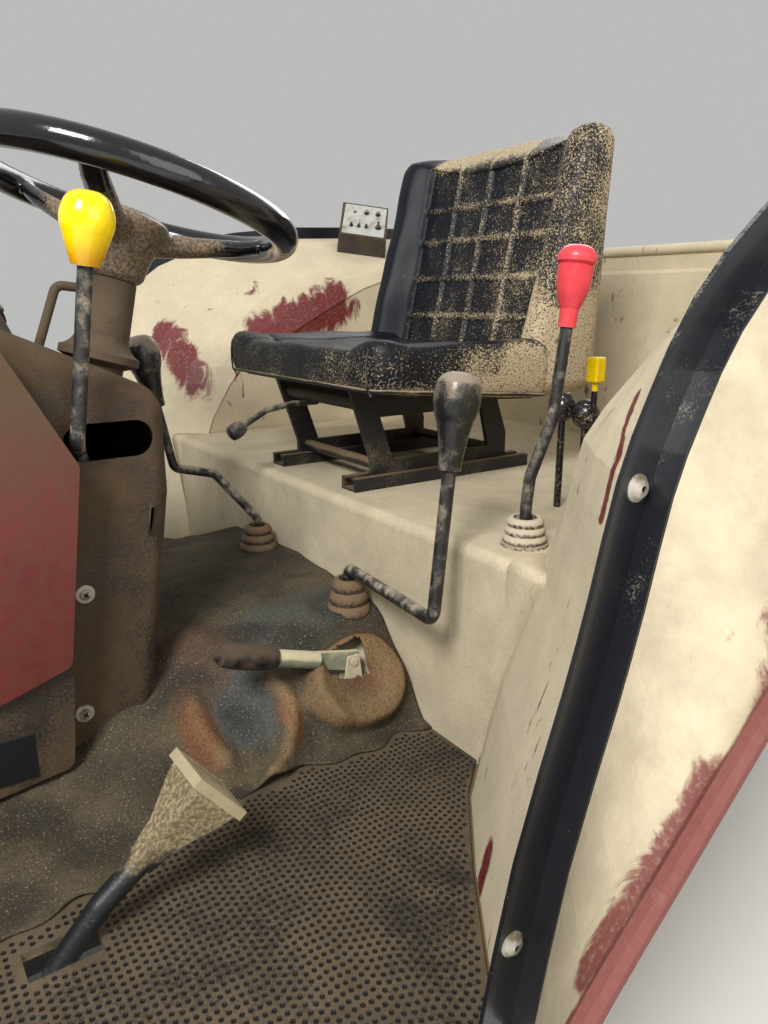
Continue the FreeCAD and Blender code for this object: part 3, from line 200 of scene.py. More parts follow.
CONSOLE_SCREWS = ((307.0, 224.0), (322.0, 76.0))  # x, h on the console's sides
STRIP_BOLTS = ((43.0, 420.0), (146.0, 77.0))  # x, h on the door strips
STRIP_T = 4.0
WASHER_R, SCREW_R, BOLT_R = 11.0, 6.5, 8.0
WASHER_T, COLLAR, COLLAR_T = 2.0, 2.5, 1.4
SCREW_RISE, BOLT_RISE = 4.0, 4.5
CROSS_TURNS = (35, 125)  # degrees
CROSS_HALF = (4.2, 0.7, 0.4)
PLATE_AT, PLATE_HALF = (418.0, 62.0), (34.0, 27.0, 0.9)
CATCH_AT, CATCH_HALF = (224.0, 299.0), (17.0, 2.6, 2.0)

# Switch box and instruments

SWITCH_LOOK = Vector((0.35, 0.67, 0.66))
SWITCHES = (
    # across and along the face from -1 to 1, radius, rise, lever's length
    (-0.62, 0.35, 8.0, 7.0, 22.0),
    (-0.10, 0.42, 5.0, 6.0, 9.0),
    (0.22, 0.42, 5.0, 6.0, 9.0),
    (0.54, 0.42, 5.0, 6.0, 9.0),
    (-0.55, -0.45, 6.5, 8.0, 0.0),
    (-0.05, -0.45, 6.5, 8.0, 0.0),
    (0.46, -0.45, 4.0, 3.0, 0.0),
)
SWITCH_LEAN = 0.35
SWITCH_PLATE_IN, SWITCH_PLATE_HALF_T = 5.0, 1.0

DIAL_YS = (-74.0, 0.0, 74.0)
DIAL_R = 17.5
DIAL_TICKS, LONG_TICK_EACH = 11, 5
DIAL_FROM, DIAL_SWEEP = 210, 240  # degrees
NEEDLE_SIDE, NEEDLE_MIDDLE = 205, 160  # degrees, on the outer gauges and the middle one
LAMP_YS = (-112.0, -37.0, 37.0, 112.0)
RECESS_FOOT, RECESS_TOP = (335.0, 522.0), (351.0, 560.0)  # x, h of the recess's floor

# Pedal pads

PAD_AT = (284.0, 106.0)  # x, h of a pad's foot plane
PAD_OUT = Vector((-0.78, 0.0, 0.62)).normalized()
PAD_FLOOR = 13.0
PAD_HALF = (26.0, 24.0)
PAD_RIBS = 6
PAD_RIB_HALF = (3.0, 2.3, 1.9)  # short of the pad's side, half width, half height
PADS = (("clutch_pad", "clutch"), ("brake_pad_left", "brake_left"), ("brake_pad_right", "brake_right"))


def at(x, y, h):
    return Vector((x * MM, y * MM, MAT_TOP + h * MM))


def in_mm(point):
    """Blender's place as (x, y, h)."""
    return (point.x / MM, point.y / MM, (point.z - MAT_TOP) / MM)


def span(node):
    """Lowest and highest corner of a CAD node, as (x, y, h)."""
    return [Vector(in_mm(corner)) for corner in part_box(node)]


def rgb(red, green, blue):
    """A colour from 0 to 255 a channel, as a linear colour."""
    def linear(value):
        share = value / 255.0
        return share / 12.92 if share <= 0.04045 else ((share + 0.055) / 1.055) ** 2.4
    return (linear(red), linear(green), linear(blue), 1.0)


# Colours and worn places

DUST_PALE = rgb(212, 198, 168)
DUST_BROWN = rgb(112, 92, 66)
DUST_GREY = rgb(150, 142, 126)
MUD = rgb(82, 64, 42)
PAINT_RED = rgb(106, 26, 30)
BLACK_PAINT = rgb(22, 23, 28)
DUST_FROM, DUST_FULL = 0.74, 0.88  # of the dust's noise, where nothing is covered
THICK_COVER = 0.7  # from here the grains are brown
DUST_ROUGH = 0.92
GUARD_BARE = (
    # from, to, half width
    ((-104, -627, 476), (-136, -545, 385), 66),
    ((-300, -530, 478), (-470, -501, 540), 84),
    ((-276, -530, 462), (-330, -520, 480), 50),
    ((-77, 648, 469), (-14, 682, 426), 9),
    ((-14, 682, 426), (2, 682, 378), 11),
    ((60, 622, 0), (64, 622, 44), 22),
)
LIP_BARE = (
    ((-33, 818, 347), (6, 836, 274), 26),
    ((70, 842, 244), (123, 840, 180), 24),
    ((123, 840, 180), (164, 838, 136), 30),
)
LIP_FROM, LIP_TO = 0.830, 0.846  # metres out, where the roll starts and is full
TUNNEL_AREAS = (
    # middle, radius, stretch, colour
    ((150, 265, 55), 95, (1, 1, 1), rgb(66, 73, 74)),
    ((30, 200, 130), 130, (0.7, 1.6, 1), rgb(64, 67, 62)),
    ((-30, 300, 80), 80, (1, 1, 1), rgb(100, 66, 42)),
    ((103, 300, 45), 50, (2.0, 0.8, 0.8), rgb(116, 72, 38)),
    ((208, 275, 40), 60, (1.6, 0.7, 0.7), rgb(104, 60, 28)),
    ((190, 190, 105), 110, (1, 1, 1), rgb(74, 54, 35)),
)
LOCK_AT = (-287.0, 425.0, 465.0)  # middle of the lock lever's yellow block
LOCK_R = 36.0
HUB_DUST_R, LIFT_DUST_R = 185.0, 160.0  # how far dust reaches round them
PANEL_DUST_HS = (0.36, 0.60)  # metres over the mat, where dust takes over
ARM_DUST_HS = (0.078, 0.100)
DUSTED = (
    # key, material, base, dust, cover, settle, speck, scale, rough, others
    ("guard", "guard_paint", PAINT_RED, DUST_PALE, 1.1, 0.3, 0.28, 8.0, 0.45,
     {"bare": GUARD_BARE, "grain": 0.0007, "shade": 0.86}),
    ("ledge", "ledge_paint", rgb(70, 54, 40), rgb(206, 192, 162), 0.94, 0.1, 0.46, 9.0, 0.6,
     {"grain": 0.0007, "shade": 0.8}),
    ("frame", "frame_paint", BLACK_PAINT, DUST_BROWN, 0.45, 0.3, 0.3, 12.0, 0.5, {}),
    ("floor", "floor_paint", BLACK_PAINT, DUST_BROWN, 0.6, 0.3, 0.3, 12.0, 0.5, {}),
    ("mat", "mat_rubber", rgb(40, 36, 30), rgb(94, 80, 60), 0.72, 0.0, 0.4, 9.0, 0.8, {"shade": 0.6}),
    ("stud", "stud_rubber", rgb(34, 31, 27), rgb(98, 84, 64), 0.34, 0.0, 0.2, 14.0, 0.75, {}),
    ("console", "console_plastic", rgb(38, 33, 28), MUD, 0.66, 0.25, 0.4, 11.0, 0.5,
     {"second": rgb(46, 38, 30), "shade": 0.7}),
    ("strip", "strip_paint", BLACK_PAINT, DUST_GREY, 0.22, 0.1, 0.1, 18.0, 0.22, {"coat": 0.4}),
    ("hub", "hub_plastic", rgb(26, 23, 22), rgb(88, 73, 56), 0.8, 0.05, 0.3, 14.0, 0.45, {}),
    ("piping", "seat_piping", rgb(24, 24, 26), rgb(150, 136, 112), 0.40, 0.2, 0.2, 20.0, 0.5, {}),
    ("lever", "lever_paint", rgb(30, 30, 32), rgb(168, 156, 136), 0.46, 0.1, 0.2, 58.0, 0.32, {}),
    ("knob", "knob_plastic", rgb(19, 19, 21), rgb(150, 136, 118), 0.44, 0.3, 0.2, 36.0, 0.26,
     {"coat": 0.3}),
    ("grip", "grip_plastic", rgb(20, 19, 19), rgb(84, 70, 56), 0.62, 0.2, 0.2, 30.0, 0.4, {}),
    ("rubber", "soft_rubber", rgb(38, 35, 31), rgb(124, 104, 76), 0.6, 0.2, 0.3, 18.0, 0.8, {}),
    ("pedal", "pedal_casting", rgb(40, 38, 34), rgb(168, 154, 122), 0.95, 0.1, 0.3, 20.0, 0.7, {}),
    # The pale cream on the handbrake's up-facing faces is partly dust and partly a painted lit top; lower
    # faces keep the darker green grey.
    ("brake", "handbrake_steel", rgb(126, 134, 116), rgb(206, 196, 160), 0.50, 0.5, 0.2, 30.0, 0.4, {}),
    ("steel", "bolt_steel", rgb(176, 170, 156), DUST_BROWN, 0.40, 0.1, 0.2, 60.0, 0.4, {}),
    ("plate", "pale_plate", rgb(188, 188, 182), rgb(150, 140, 118), 0.35, 0.1, 0.2, 40.0, 0.4, {}),
    ("dial", "dial_face", rgb(14, 14, 16), DUST_GREY, 0.15, 0.0, 0.1, 60.0, 0.25, {"coat": 0.5}),
)

# Which material each node takes, by the start of the node's name

NODE_MATERIALS = (
    ("lip", ("guard_outer",)),
    ("guard", ("guard_", "rear_panel")),
    ("ledge", ("seat_ledge", "tunnel_cover")),
    ("tunnel", ("tunnel_mat",)),
    ("mat", ("floor_mat",)),
    ("floor", ("floor_plate",)),
    ("frame", ("side_rails", "cross_members", "mount_plates", "bulkhead", "seat_rails", "seat_frame",
               "seat_pan", "pedal_shafts")),
    ("rubber", ("mount_rubbers", "foot_throttle")),
    ("console", ("console", "instrument_panel", "kick_panel", "switch_box")),
    ("panel_red", ("side_panel",)),
    ("strip", ("door_strip",)),
    ("hub", ("column_", "steering_hub")),
    ("wheel", ("steering_rim",)),
    ("vinyl", ("seat_cushion", "seat_backrest")),
    ("lever", ("seat_lever", "gear_lever", "range_lever", "shuttle_lever", "lift_lever")),
    ("knob", ("gear_knob", "range_knob")),
    ("yellow", ("shuttle_knob",)),
    ("red", ("lift_knob",)),
    ("grip", ("handbrake_grip",)),
    ("brake", ("handbrake_lever",)),
    ("hydraulic", ("hydraulic",)),
    ("gaiter", ("lever_gaiters",)),
    ("pedal", ("clutch_pad", "brake_pad")),
    ("arm", ("clutch_pedal", "brake_pedal")),
)


# Node materials

class Value:
    """A number or colour that varies over a surface. Its sums and products are nodes."""

    def __init__(self, paint, socket):
        self.paint = paint
        self.socket = socket

    def __add__(self, other):
        return self.paint.sums("ADD", self, other)

    def __sub__(self, other):
        return self.paint.sums("SUBTRACT", self, other)

    def __rsub__(self, other):
        return self.paint.sums("SUBTRACT", other, self)

    def __mul__(self, other):
        return self.paint.sums("MULTIPLY", self, other)

    def mask(self, low, high):
        """0 below low, 1 above high, smooth between."""
        made = self.paint.node("ShaderNodeMapRange", interpolation_type="SMOOTHSTEP")
        self.paint.feed(made.inputs["Value"], self)
        made.inputs["From Min"].default_value = low
        made.inputs["From Max"].default_value = high
        return Value(self.paint, made.outputs["Result"])


class Paint:
    """A procedural material: masks and colours by name, over one shader."""

    def __init__(self, name):
        self.material = bpy.data.materials.new(name)
        self.material.use_nodes = True
        self.tree = self.material.node_tree
        self.shader = self.tree.nodes["Principled BSDF"]
        self.place = Value(self, self.node("ShaderNodeTexCoord").outputs["Object"])
        self.normal = None

    def node(self, kind, **settings):
        made = self.tree.nodes.new(kind)
        for key, value in settings.items():
            setattr(made, key, value)
        return made

    def feed(self, socket, value):
        if isinstance(value, Value):
            self.tree.links.new(value.socket, socket)
        else:
            socket.default_value = value

    def sums(self, operation, a, b=0.0):
        made = self.node("ShaderNodeMath", operation=operation)
        self.feed(made.inputs[0], a)
        self.feed(made.inputs[1], b)
        return Value(self, made.outputs[0])

    def vectors(self, operation, a, b, output):
        made = self.node("ShaderNodeVectorMath", operation=operation)
        self.feed(made.inputs[0], a)
        self.feed(made.inputs["Scale" if operation == "SCALE" else 1], b)
        return Value(self, made.outputs[output])

    def stretched(self, scale):
        mapping = self.node("ShaderNodeMapping")
        self.feed(mapping.inputs["Vector"], self.place)
        mapping.inputs["Scale"].default_value = scale
        return Value(self, mapping.outputs["Vector"])

    def noise(self, scale, detail=5.0, rough=0.6, stretch=(1, 1, 1), twist=0.0):
        made = self.node("ShaderNodeTexNoise")
        self.feed(made.inputs["Vector"], self.stretched(stretch))
        made.inputs["Scale"].default_value = scale
        made.inputs["Detail"].default_value = detail
        made.inputs["Roughness"].default_value = rough
        made.inputs["Distortion"].default_value = twist
        return Value(self, made.outputs["Fac"])

    def cells(self, scale):
        made = self.node("ShaderNodeTexVoronoi", feature="F1")
        self.feed(made.inputs["Vector"], self.place)
        made.inputs["Scale"].default_value = scale
        return Value(self, made.outputs["Distance"])

    def layer(self, name):
        """What a mesh says of its own points."""
        return Value(self, self.node("ShaderNodeAttribute", attribute_name=name).outputs["Fac"])

    def along(self, axis, vector=None):
        """One part of a vector, or of the place."""
        split = self.node("ShaderNodeSeparateXYZ")
        self.feed(split.inputs[0], vector or self.place)
        return Value(self, split.outputs[axis])

    def facing_up(self):
        return self.along("Z", Value(self, self.node("ShaderNodeNewGeometry").outputs["Normal"]))

    def mixed(self, share, a, b):
        made = self.node("ShaderNodeMix", data_type="RGBA")
        self.feed(made.inputs["Factor"], share)
        self.feed(made.inputs[6], a)
        self.feed(made.inputs[7], b)
        return Value(self, made.outputs[2])

    def near(self, point, radius, stretch=(1, 1, 1)):
        """1 at a point and 0 beyond a radius, in a frame stretched by axis."""
        scaled = [p * s for p, s in zip(point, stretch)]
        apart = self.vectors("DISTANCE", self.stretched(stretch), scaled, "Value")
        return apart.mask(radius * MM, radius * MM * 0.35)

    def streak(self, start, end, half):
        """1 along the line between two points and 0 beyond a distance from it."""
        start, end = at(*start), at(*end)
        way = end - start
        away = self.vectors("SUBTRACT", self.place, start, "Vector")
        share = self.vectors("DOT_PRODUCT", away, way / way.length_squared, "Value")
        share = self.sums("MAXIMUM", self.sums("MINIMUM", share, 1.0), 0.0)
        foot = self.vectors("SCALE", way, share, "Vector")
        apart = self.vectors("DISTANCE", away, foot, "Value")
        return apart.mask(half * MM, half * MM * 0.2)

    def worn(self, spot, fine):
        """A worn spot with a ragged, streaky edge and dust left inside it."""
        edge = spot + (self.noise(30.0, 6.0, 0.7, (1.0, 1.0, 0.45), 0.8) - 0.5) * 2.6
        return edge.mask(0.30, 0.80) * (1 - fine.mask(0.50, 0.70) * 0.2)

    def above(self, low, high, noise, sway):
        """0 below one height and 1 above another, with a border that sways."""
        return (self.along("Z") + noise * sway).mask(low, high)

    def bump(self, value, distance):
        made = self.node("ShaderNodeBump")
        self.feed(made.inputs["Height"], value)
        made.inputs["Distance"].default_value = distance
        made.inputs["Strength"].default_value = 1.0
        if self.normal:
            self.feed(made.inputs["Normal"], self.normal)
        self.normal = Value(self, made.outputs["Normal"])

    def finish(self, colour, rough, coat=0.0, specular=0.5):
        self.feed(self.shader.inputs["Base Color"], colour)
        self.feed(self.shader.inputs["Roughness"], rough)
        self.shader.inputs["Coat Weight"].default_value = coat
        self.shader.inputs["Coat Roughness"].default_value = 0.12
        self.shader.inputs["Specular IOR Level"].default_value = specular
        if self.normal:
            self.feed(self.shader.inputs["Normal"], self.normal)
        return self.material


def dusted(name, base, dust, cover, settle, speck, scale, rough,
           coat=0.0, second=None, bare=(), grain=0.0004, shade=0.84):
    """Base colour under dust. cover is how far the dust hides it, settle adds dust on
    what looks up, speck adds fine dark grains, shade darkens the dust in patches, and
    bare lists worn streaks."""
    paint = Paint(name)
    fine = paint.noise(scale * 28, 3.0, 0.7)
    up = paint.facing_up().mask(-0.1, 0.9)
    level = paint.noise(scale, 6.0, 0.62) * 0.6 + fine * 0.4 + up * settle
    dusty = level.mask(DUST_FROM - cover / 2, DUST_FULL - cover / 2)
    for streak in bare:
        dusty = dusty * (1 - paint.worn(paint.streak(*streak), fine))
    under = base
    if second:
        under = paint.mixed(paint.noise(scale * 2.3, 4.0).mask(0.42, 0.62), base, second)
    patch = paint.noise(scale * 1.7, 7.0, 0.68).mask(0.3, 0.72)
    darker = tuple(c * shade for c in dust[:3]) + (1.0,)
    colour = paint.mixed(dusty, under, paint.mixed(patch, darker, dust))
    flecks = paint.noise(scale * 26, 5.0, 0.78).mask(0.55, 0.70)
    colour = paint.mixed(flecks * (speck * 0.9), colour, DUST_BROWN)
    grains = paint.noise(scale * 80, 3.0, 0.6).mask(0.56, 0.66)
    colour = paint.mixed(grains * speck, colour, DUST_BROWN if cover > THICK_COVER else BLACK_PAINT)
    paint.bump(fine + dusty * 0.5, grain)
    return paint.finish(colour, dusty * (DUST_ROUGH - rough) + rough, coat)


def lip_material():
    """The guard's outer sheet: dusty, with red paint bare along the rolled lip."""
    paint = Paint("lip_paint")
    fine = paint.noise(220.0, 3.0, 0.7)
    out = paint.sums("ABSOLUTE", paint.along("Y")).mask(LIP_FROM, LIP_TO)
    bare = (out + (paint.noise(22.0, 7.0, 0.7) - 0.5) * 1.3).mask(0.45, 0.85)
    for streak in LIP_BARE:
        bare = paint.sums("MAXIMUM", bare, paint.worn(paint.streak(*streak), fine))
    dust = paint.mixed(paint.noise(14.0, 7.0, 0.68).mask(0.3, 0.72), rgb(172, 158, 132), rgb(200, 186, 156))
    red = paint.mixed(fine.mask(0.46, 0.70), PAINT_RED, rgb(112, 44, 42))
    paint.bump(fine, 0.0005)
    return paint.finish(paint.mixed(bare * 0.9, dust, red), 0.72)


def vinyl_material():
    """Black vinyl under fine sand, which lies where the mesh says. Its bluish base colour is a painted blue
    sheen, a painted reflection, and the sand on the backrest's rib crests is partly a painted highlight.
    """
    paint = Paint("seat_vinyl")
    level = paint.layer("dust") + (paint.noise(13.0, 5.0, 0.6) - 0.5) * 0.7
    level = paint.sums("MINIMUM", level, 0.52)
    grains = (paint.noise(330.0, 4.0, 0.7) + level * 0.5).mask(0.62, 0.76)
    # The bluish black under the dust film is a painted blue sheen, a painted reflection.
    film = paint.mixed(level.mask(0.0, 0.9), rgb(14, 17, 25), rgb(44, 41, 40))
    paint.bump(paint.cells(700.0), 0.0002)
    paint.bump(grains, 0.0003)
    return paint.finish(paint.mixed(grains, film, rgb(186, 168, 136)), grains * 0.5 + 0.44, specular=0.24)


def tunnel_material():
    """A rubber mat under mud: olive, with soft areas of blue grey and rust, pale on the
    folds, with painted shade between them."""
    paint = Paint("tunnel_rubber")
    fine = paint.noise(300.0, 3.0, 0.7)
    wander = (paint.noise(16.0, 6.0, 0.65, twist=0.8) - 0.5) * 1.5
    colour = paint.mixed(paint.noise(9.0, 6.0, 0.6).mask(0.35, 0.65), rgb(62, 54, 39), rgb(80, 69, 48))
    for middle, radius, stretch, tone in TUNNEL_AREAS:
        spot = paint.near(at(*middle), radius, stretch) + wander
        colour = paint.mixed(spot.mask(0.20, 1.10) * 0.85, colour, tone)
    uneven = paint.layer("relief") + (paint.noise(24.0) - 0.5) * 0.5
    colour = paint.mixed(uneven.mask(0.45, 1.1) * 0.7, colour, rgb(128, 102, 68))
    # painted shade: darkens the mat between its folds, where the relief is low
    colour = paint.mixed(uneven.mask(0.14, -0.10) * 0.7, colour, rgb(26, 24, 20))
    colour = paint.mixed(fine.mask(0.50, 0.66) * 0.55, colour, rgb(28, 25, 20))
    sand = paint.noise(520.0, 2.0, 0.6).mask(0.62, 0.70)
    paint.bump(fine, 0.0008)
    paint.bump(paint.noise(38.0, 5.0, 0.6), 0.0022)
    paint.bump(paint.noise(62.0, 3.0, 0.5, (1.0, 0.45, 0.45), 1.4), 0.0020)
    return paint.finish(paint.mixed(sand * 0.75, colour, rgb(164, 144, 106)), 0.82)


def wheel_material():
    """Glossy black rim that turns dusty brown towards the hub."""
    paint = Paint("wheel_plastic")
    low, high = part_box("steering_rim")
    hub = paint.near((low + high) / 2, HUB_DUST_R)
    fine = paint.noise(260.0, 3.0, 0.65)
    dusty = (paint.noise(15.0, 6.0, 0.62) + fine * 0.4 + hub * 0.55).mask(0.86, 1.08)
    dust = paint.mixed(fine.mask(0.4, 0.6), rgb(84, 68, 50), rgb(132, 114, 90))
    paint.bump(fine, 0.0002)
    return paint.finish(paint.mixed(dusty, rgb(17, 17, 20), dust), dusty * 0.7 + 0.15, coat=0.5)


def hydraulic_material():
    """Black knobs, with the lock lever's block in yellow."""
    paint = Paint("hydraulic_plastic")
    lock = paint.near(at(*LOCK_AT), LOCK_R, (1, 1, 0.85)).mask(0.56, 0.60)
    fine = paint.noise(300.0, 3.0, 0.65)
    dusty = (fine + paint.noise(30.0) * 0.5).mask(0.80, 0.95)
    black = paint.mixed(dusty, rgb(19, 19, 21), rgb(150, 134, 110))
    paint.bump(fine, 0.0001)
    return paint.finish(paint.mixed(lock, black, rgb(246, 206, 0)), dusty * 0.5 + 0.25, coat=0.3)


def red_panel_material():
    """Red paint below and brown dust above."""
    paint = Paint("panel_paint")
    low, high = PANEL_DUST_HS
    dusty = paint.above(MAT_TOP + low, MAT_TOP + high, paint.noise(9.0), 0.16)
    red = paint.mixed(paint.noise(14.0, 6.0, 0.65).mask(0.4, 0.62), rgb(106, 34, 29), rgb(94, 22, 23))
    film = paint.mixed(paint.noise(60.0).mask(0.30, 0.70), rgb(90, 44, 33), red)
    fine = paint.noise(260.0, 3.0)
    colour = paint.mixed(dusty, film, rgb(84, 66, 45))
    paint.bump(fine, 0.0003)
    return paint.finish(paint.mixed(fine.mask(0.6, 0.7) * 0.3, colour, rgb(70, 40, 30)), dusty * 0.35 + 0.5)


def yellow_material():
    """Glossy yellow, darker amber towards the bottom by the lever."""
    paint = Paint("yellow_plastic")
    low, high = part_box("shuttle_knob")
    # bright yellow above, darker amber towards the bottom
    upper_share = paint.above(low.z + 0.005, high.z - 0.028, paint.noise(40.0), 0.012)
    colour = paint.mixed(upper_share, rgb(206, 146, 6), rgb(255, 220, 0))
    marks = paint.noise(70.0, 4.0, 0.6, (1, 1, 4)).mask(0.70, 0.76)
    paint.bump(paint.noise(90.0), 0.0001)
    return paint.finish(paint.mixed(marks * 0.7, colour, rgb(120, 84, 16)), 0.16, coat=0.4)


def arm_material():
    """Black pedal arms, caked with dust towards the pad."""
    paint = Paint("arm_paint")
    low, high = ARM_DUST_HS
    caked = paint.above(MAT_TOP + low, MAT_TOP + high, paint.noise(34.0, 6.0, 0.7), 0.05)
    fine = paint.noise(240.0, 4.0, 0.7)
    dust = paint.mixed(fine.mask(0.40, 0.66), rgb(104, 90, 66), rgb(160, 146, 112))
    black = paint.mixed(fine.mask(0.60, 0.72), rgb(24, 27, 29), rgb(96, 86, 68))
    paint.bump(fine, 0.0005)
    return paint.finish(paint.mixed(caked, black, dust), caked * 0.45 + 0.42)


def gaiter_material():
    """Brown dusty rubber, nearly white with dust at the lift lever."""
    paint = Paint("gaiter_rubber")
    low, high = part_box("lift_lever")
    foot = Vector(((low.x + high.x) / 2, (low.y + high.y) / 2, low.z))
    fine = paint.noise(240.0, 4.0, 0.7)
    dust = paint.mixed(paint.near(foot, LIFT_DUST_R), rgb(112, 92, 68), rgb(190, 178, 154))
    dusty = (fine * 0.8 + paint.facing_up().mask(-0.2, 0.7) * 0.35).mask(0.30, 0.56)
    paint.bump(fine, 0.0006)
    paint.bump(paint.noise(60.0), 0.0016)
    return paint.finish(paint.mixed(dusty, rgb(48, 42, 35), dust), 0.85)


def red_knob_material():
    """Faded red plastic with small brown marks."""
    paint = Paint("red_plastic")
    wear = paint.noise(60.0, 5.0, 0.6)
    colour = paint.mixed(wear.mask(0.35, 0.75), rgb(226, 70, 80), rgb(208, 56, 66))
    marks = paint.noise(160.0, 3.0).mask(0.68, 0.74)
    paint.bump(wear, 0.0001)
    return paint.finish(paint.mixed(marks * 0.5, colour, rgb(110, 40, 36)), 0.32)


def materials():
    made = {key: dusted(*look, **others) for key, *look, others in DUSTED}
    made["lip"] = lip_material()
    made["vinyl"] = vinyl_material()
    made["tunnel"] = tunnel_material()
    made["wheel"] = wheel_material()
    made["hydraulic"] = hydraulic_material()
    made["panel_red"] = red_panel_material()
    made["yellow"] = yellow_material()
    made["arm"] = arm_material()
    made["gaiter"] = gaiter_material()
    made["red"] = red_knob_material()
    return made


def dress_nodes(made):
    for name, node in NODES.items():
        key = next(key for key, starts in NODE_MATERIALS if name.startswith(starts))
        node.data.materials.clear()
        node.data.materials.append(made[key])


# Mesh making

class Shells:
    """Points (x, y, h) and faces of several shells that become one object."""

    def __init__(self):
        self.points = []
        self.faces = []

    def add(self, points, faces):
        start = len(self.points)
        self.points.extend(tuple(point) for point in points)
        self.faces.extend(tuple(start + int(i) for i in face) for face in faces)

    def add_used(self, points, faces):
        """Add faces with only the points that they use, and give those points' numbers."""
        used, places = np.unique(faces, return_inverse=True)
        self.add(points[used], places.reshape(-1, 4))
        return used

    def made(self, name, flat=False):
        mesh = bpy.data.meshes.new(name)
        mesh.from_pydata([at(*point) for point in self.points], [], self.faces)
        mesh.polygons.foreach_set("use_smooth", [not flat] * len(mesh.polygons))
        return placed(name, mesh)


def placed(name, data):
    """A new object in the scene."""
    piece = bpy.data.objects.new(name, data)
    bpy.context.scene.collection.objects.link(piece)
    return piece


def grid_faces(index, wrap=False):
    """Quads between the rows of an array of point numbers."""
    if wrap:
        index = np.concatenate([index, index[:, :1]], axis=1)
    return np.stack([index[:-1, :-1], index[1:, :-1], index[1:, 1:], index[:-1, 1:]], -1).reshape(-1, 4)


def capped(points, rows):
    """Points in rows that each go round, with the faces between them and over both ends."""
    index = np.arange(len(points)).reshape(rows, -1)
    faces = [tuple(f) for f in grid_faces(index, wrap=True)]
    return points, faces + [tuple(index[0][::-1]), tuple(index[-1])]


def ring(middle, side, up, radius, sides):
    turns = [2 * math.pi * k / sides for k in range(sides)]
    return [middle + (side * math.cos(a) + up * math.sin(a)) * radius for a in turns]


def turned(profile, base, axis, sides=24):
    """A profile of (radius, height) turned about an axis."""
    axis = Vector(axis).normalized()
    side = axis.orthogonal().normalized()
    up = axis.cross(side)
    points = []
    for radius, height in profile:
        points += ring(Vector(base) + axis * height, side, up, radius, sides)
    return capped(points, len(profile))


def tube(line, radius, sides=8, closed=False):
    """A round tube along a line of points."""
    line = [Vector(p) for p in line]
    points = []
    side = None
    for i, here in enumerate(line):
        before = line[i - 1] if (i or closed) else here
        after = line[(i + 1) % len(line)] if (closed or i + 1 < len(line)) else here
        along = (after - before).normalized()
        side = along.orthogonal() if side is None else side - along * side.dot(along)
        side.normalize()
        points += ring(here, side, along.cross(side), radius, sides)
    if closed:
        index = np.arange(len(points)).reshape(len(line), sides)
        return points, grid_faces(np.concatenate([index, index[:1]]), wrap=True)
    return capped(points, len(line))


def block(centre, across, along, up, half, bevel):
    """A box on three directions, with bevelled top edges."""
    centre, across, along, up = Vector(centre), Vector(across), Vector(along), Vector(up)
    points = []
    for inset, rise in ((0.0, -half[2]), (0.0, half[2] - bevel), (bevel, half[2])):
        for s, t in ((-1, -1), (1, -1), (1, 1), (-1, 1)):
            flat = across * (s * (half[0] - inset)) + along * (t * (half[1] - inset))
            points.append(centre + flat + up * rise)
    return capped(points, 3)


def thickened(piece, thickness):
    """Give a sheet its thickness, behind its face."""
    solid = piece.modifiers.new("thickness", "SOLIDIFY")
    solid.thickness = thickness * MM
    solid.offset = -1.0


def smooth(value, low, high):
    """0 below low, 1 above high, smooth between."""
    t = np.clip((value - low) / (high - low), 0.0, 1.0)
    return t * t * (3 - 2 * t)


def waves(table, a, b):
    """Shallow waves, each with a size and its lengths along two ways."""
    return sum(size * np.sin(a / length + b / other) for size, length, other in table)


def dressed(piece, body, material, slot, *nodes):
    """Give a piece its body and material, and hide the CAD nodes it stands for. slot is not used."""
    piece.data.materials.append(material)
    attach(piece, body)
    if nodes:
        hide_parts(*nodes)
    return piece


def mark(piece, name, values):
    """A number for each point, such as how thick the dust lies, for a material to read."""
    layer = piece.data.attributes.new(name, "FLOAT", "POINT")
    layer.data.foreach_set("value", np.asarray(values, np.float32))


# Seat pads

def spread(count):
    """Numbers from -1 to 1, closer together towards both ends."""
    t = np.linspace(-1.0, 1.0, count)
    return t * (1 - PAD_CROWD) + np.sin(t * math.pi / 2) * PAD_CROWD


def rounded_outline(half, corner):
    """A grid of (u, w) places that fills a rectangle with round corners, and how far
    each is inside its outline."""
    a, b = np.meshgrid(spread(PAD_COUNTS[0]), spread(PAD_COUNTS[1]), indexing="ij")
    share = np.maximum(np.maximum(np.abs(a), np.abs(b)), TINY)
    u, w = a / share * half[0], b / share * half[1]
    inner_u, inner_w = half[0] - corner, half[1] - corner
    kept_u, kept_w = np.clip(u, -inner_u, inner_u), np.clip(w, -inner_w, inner_w)
    over_u, over_w = u - kept_u, w - kept_w
    both = (np.abs(over_u) > 0) & (np.abs(over_w) > 0)
    cut = np.where(both, corner / np.maximum(np.hypot(over_u, over_w), TINY), 1.0)
    u, w = (kept_u + over_u * cut) * share, (kept_w + over_w * cut) * share
    past_u, past_w = np.abs(u) - inner_u, np.abs(w) - inner_w
    inside = corner - np.hypot(np.maximum(past_u, 0), np.maximum(past_w, 0))
    return u, w, inside - np.minimum(np.maximum(past_u, past_w), 0)


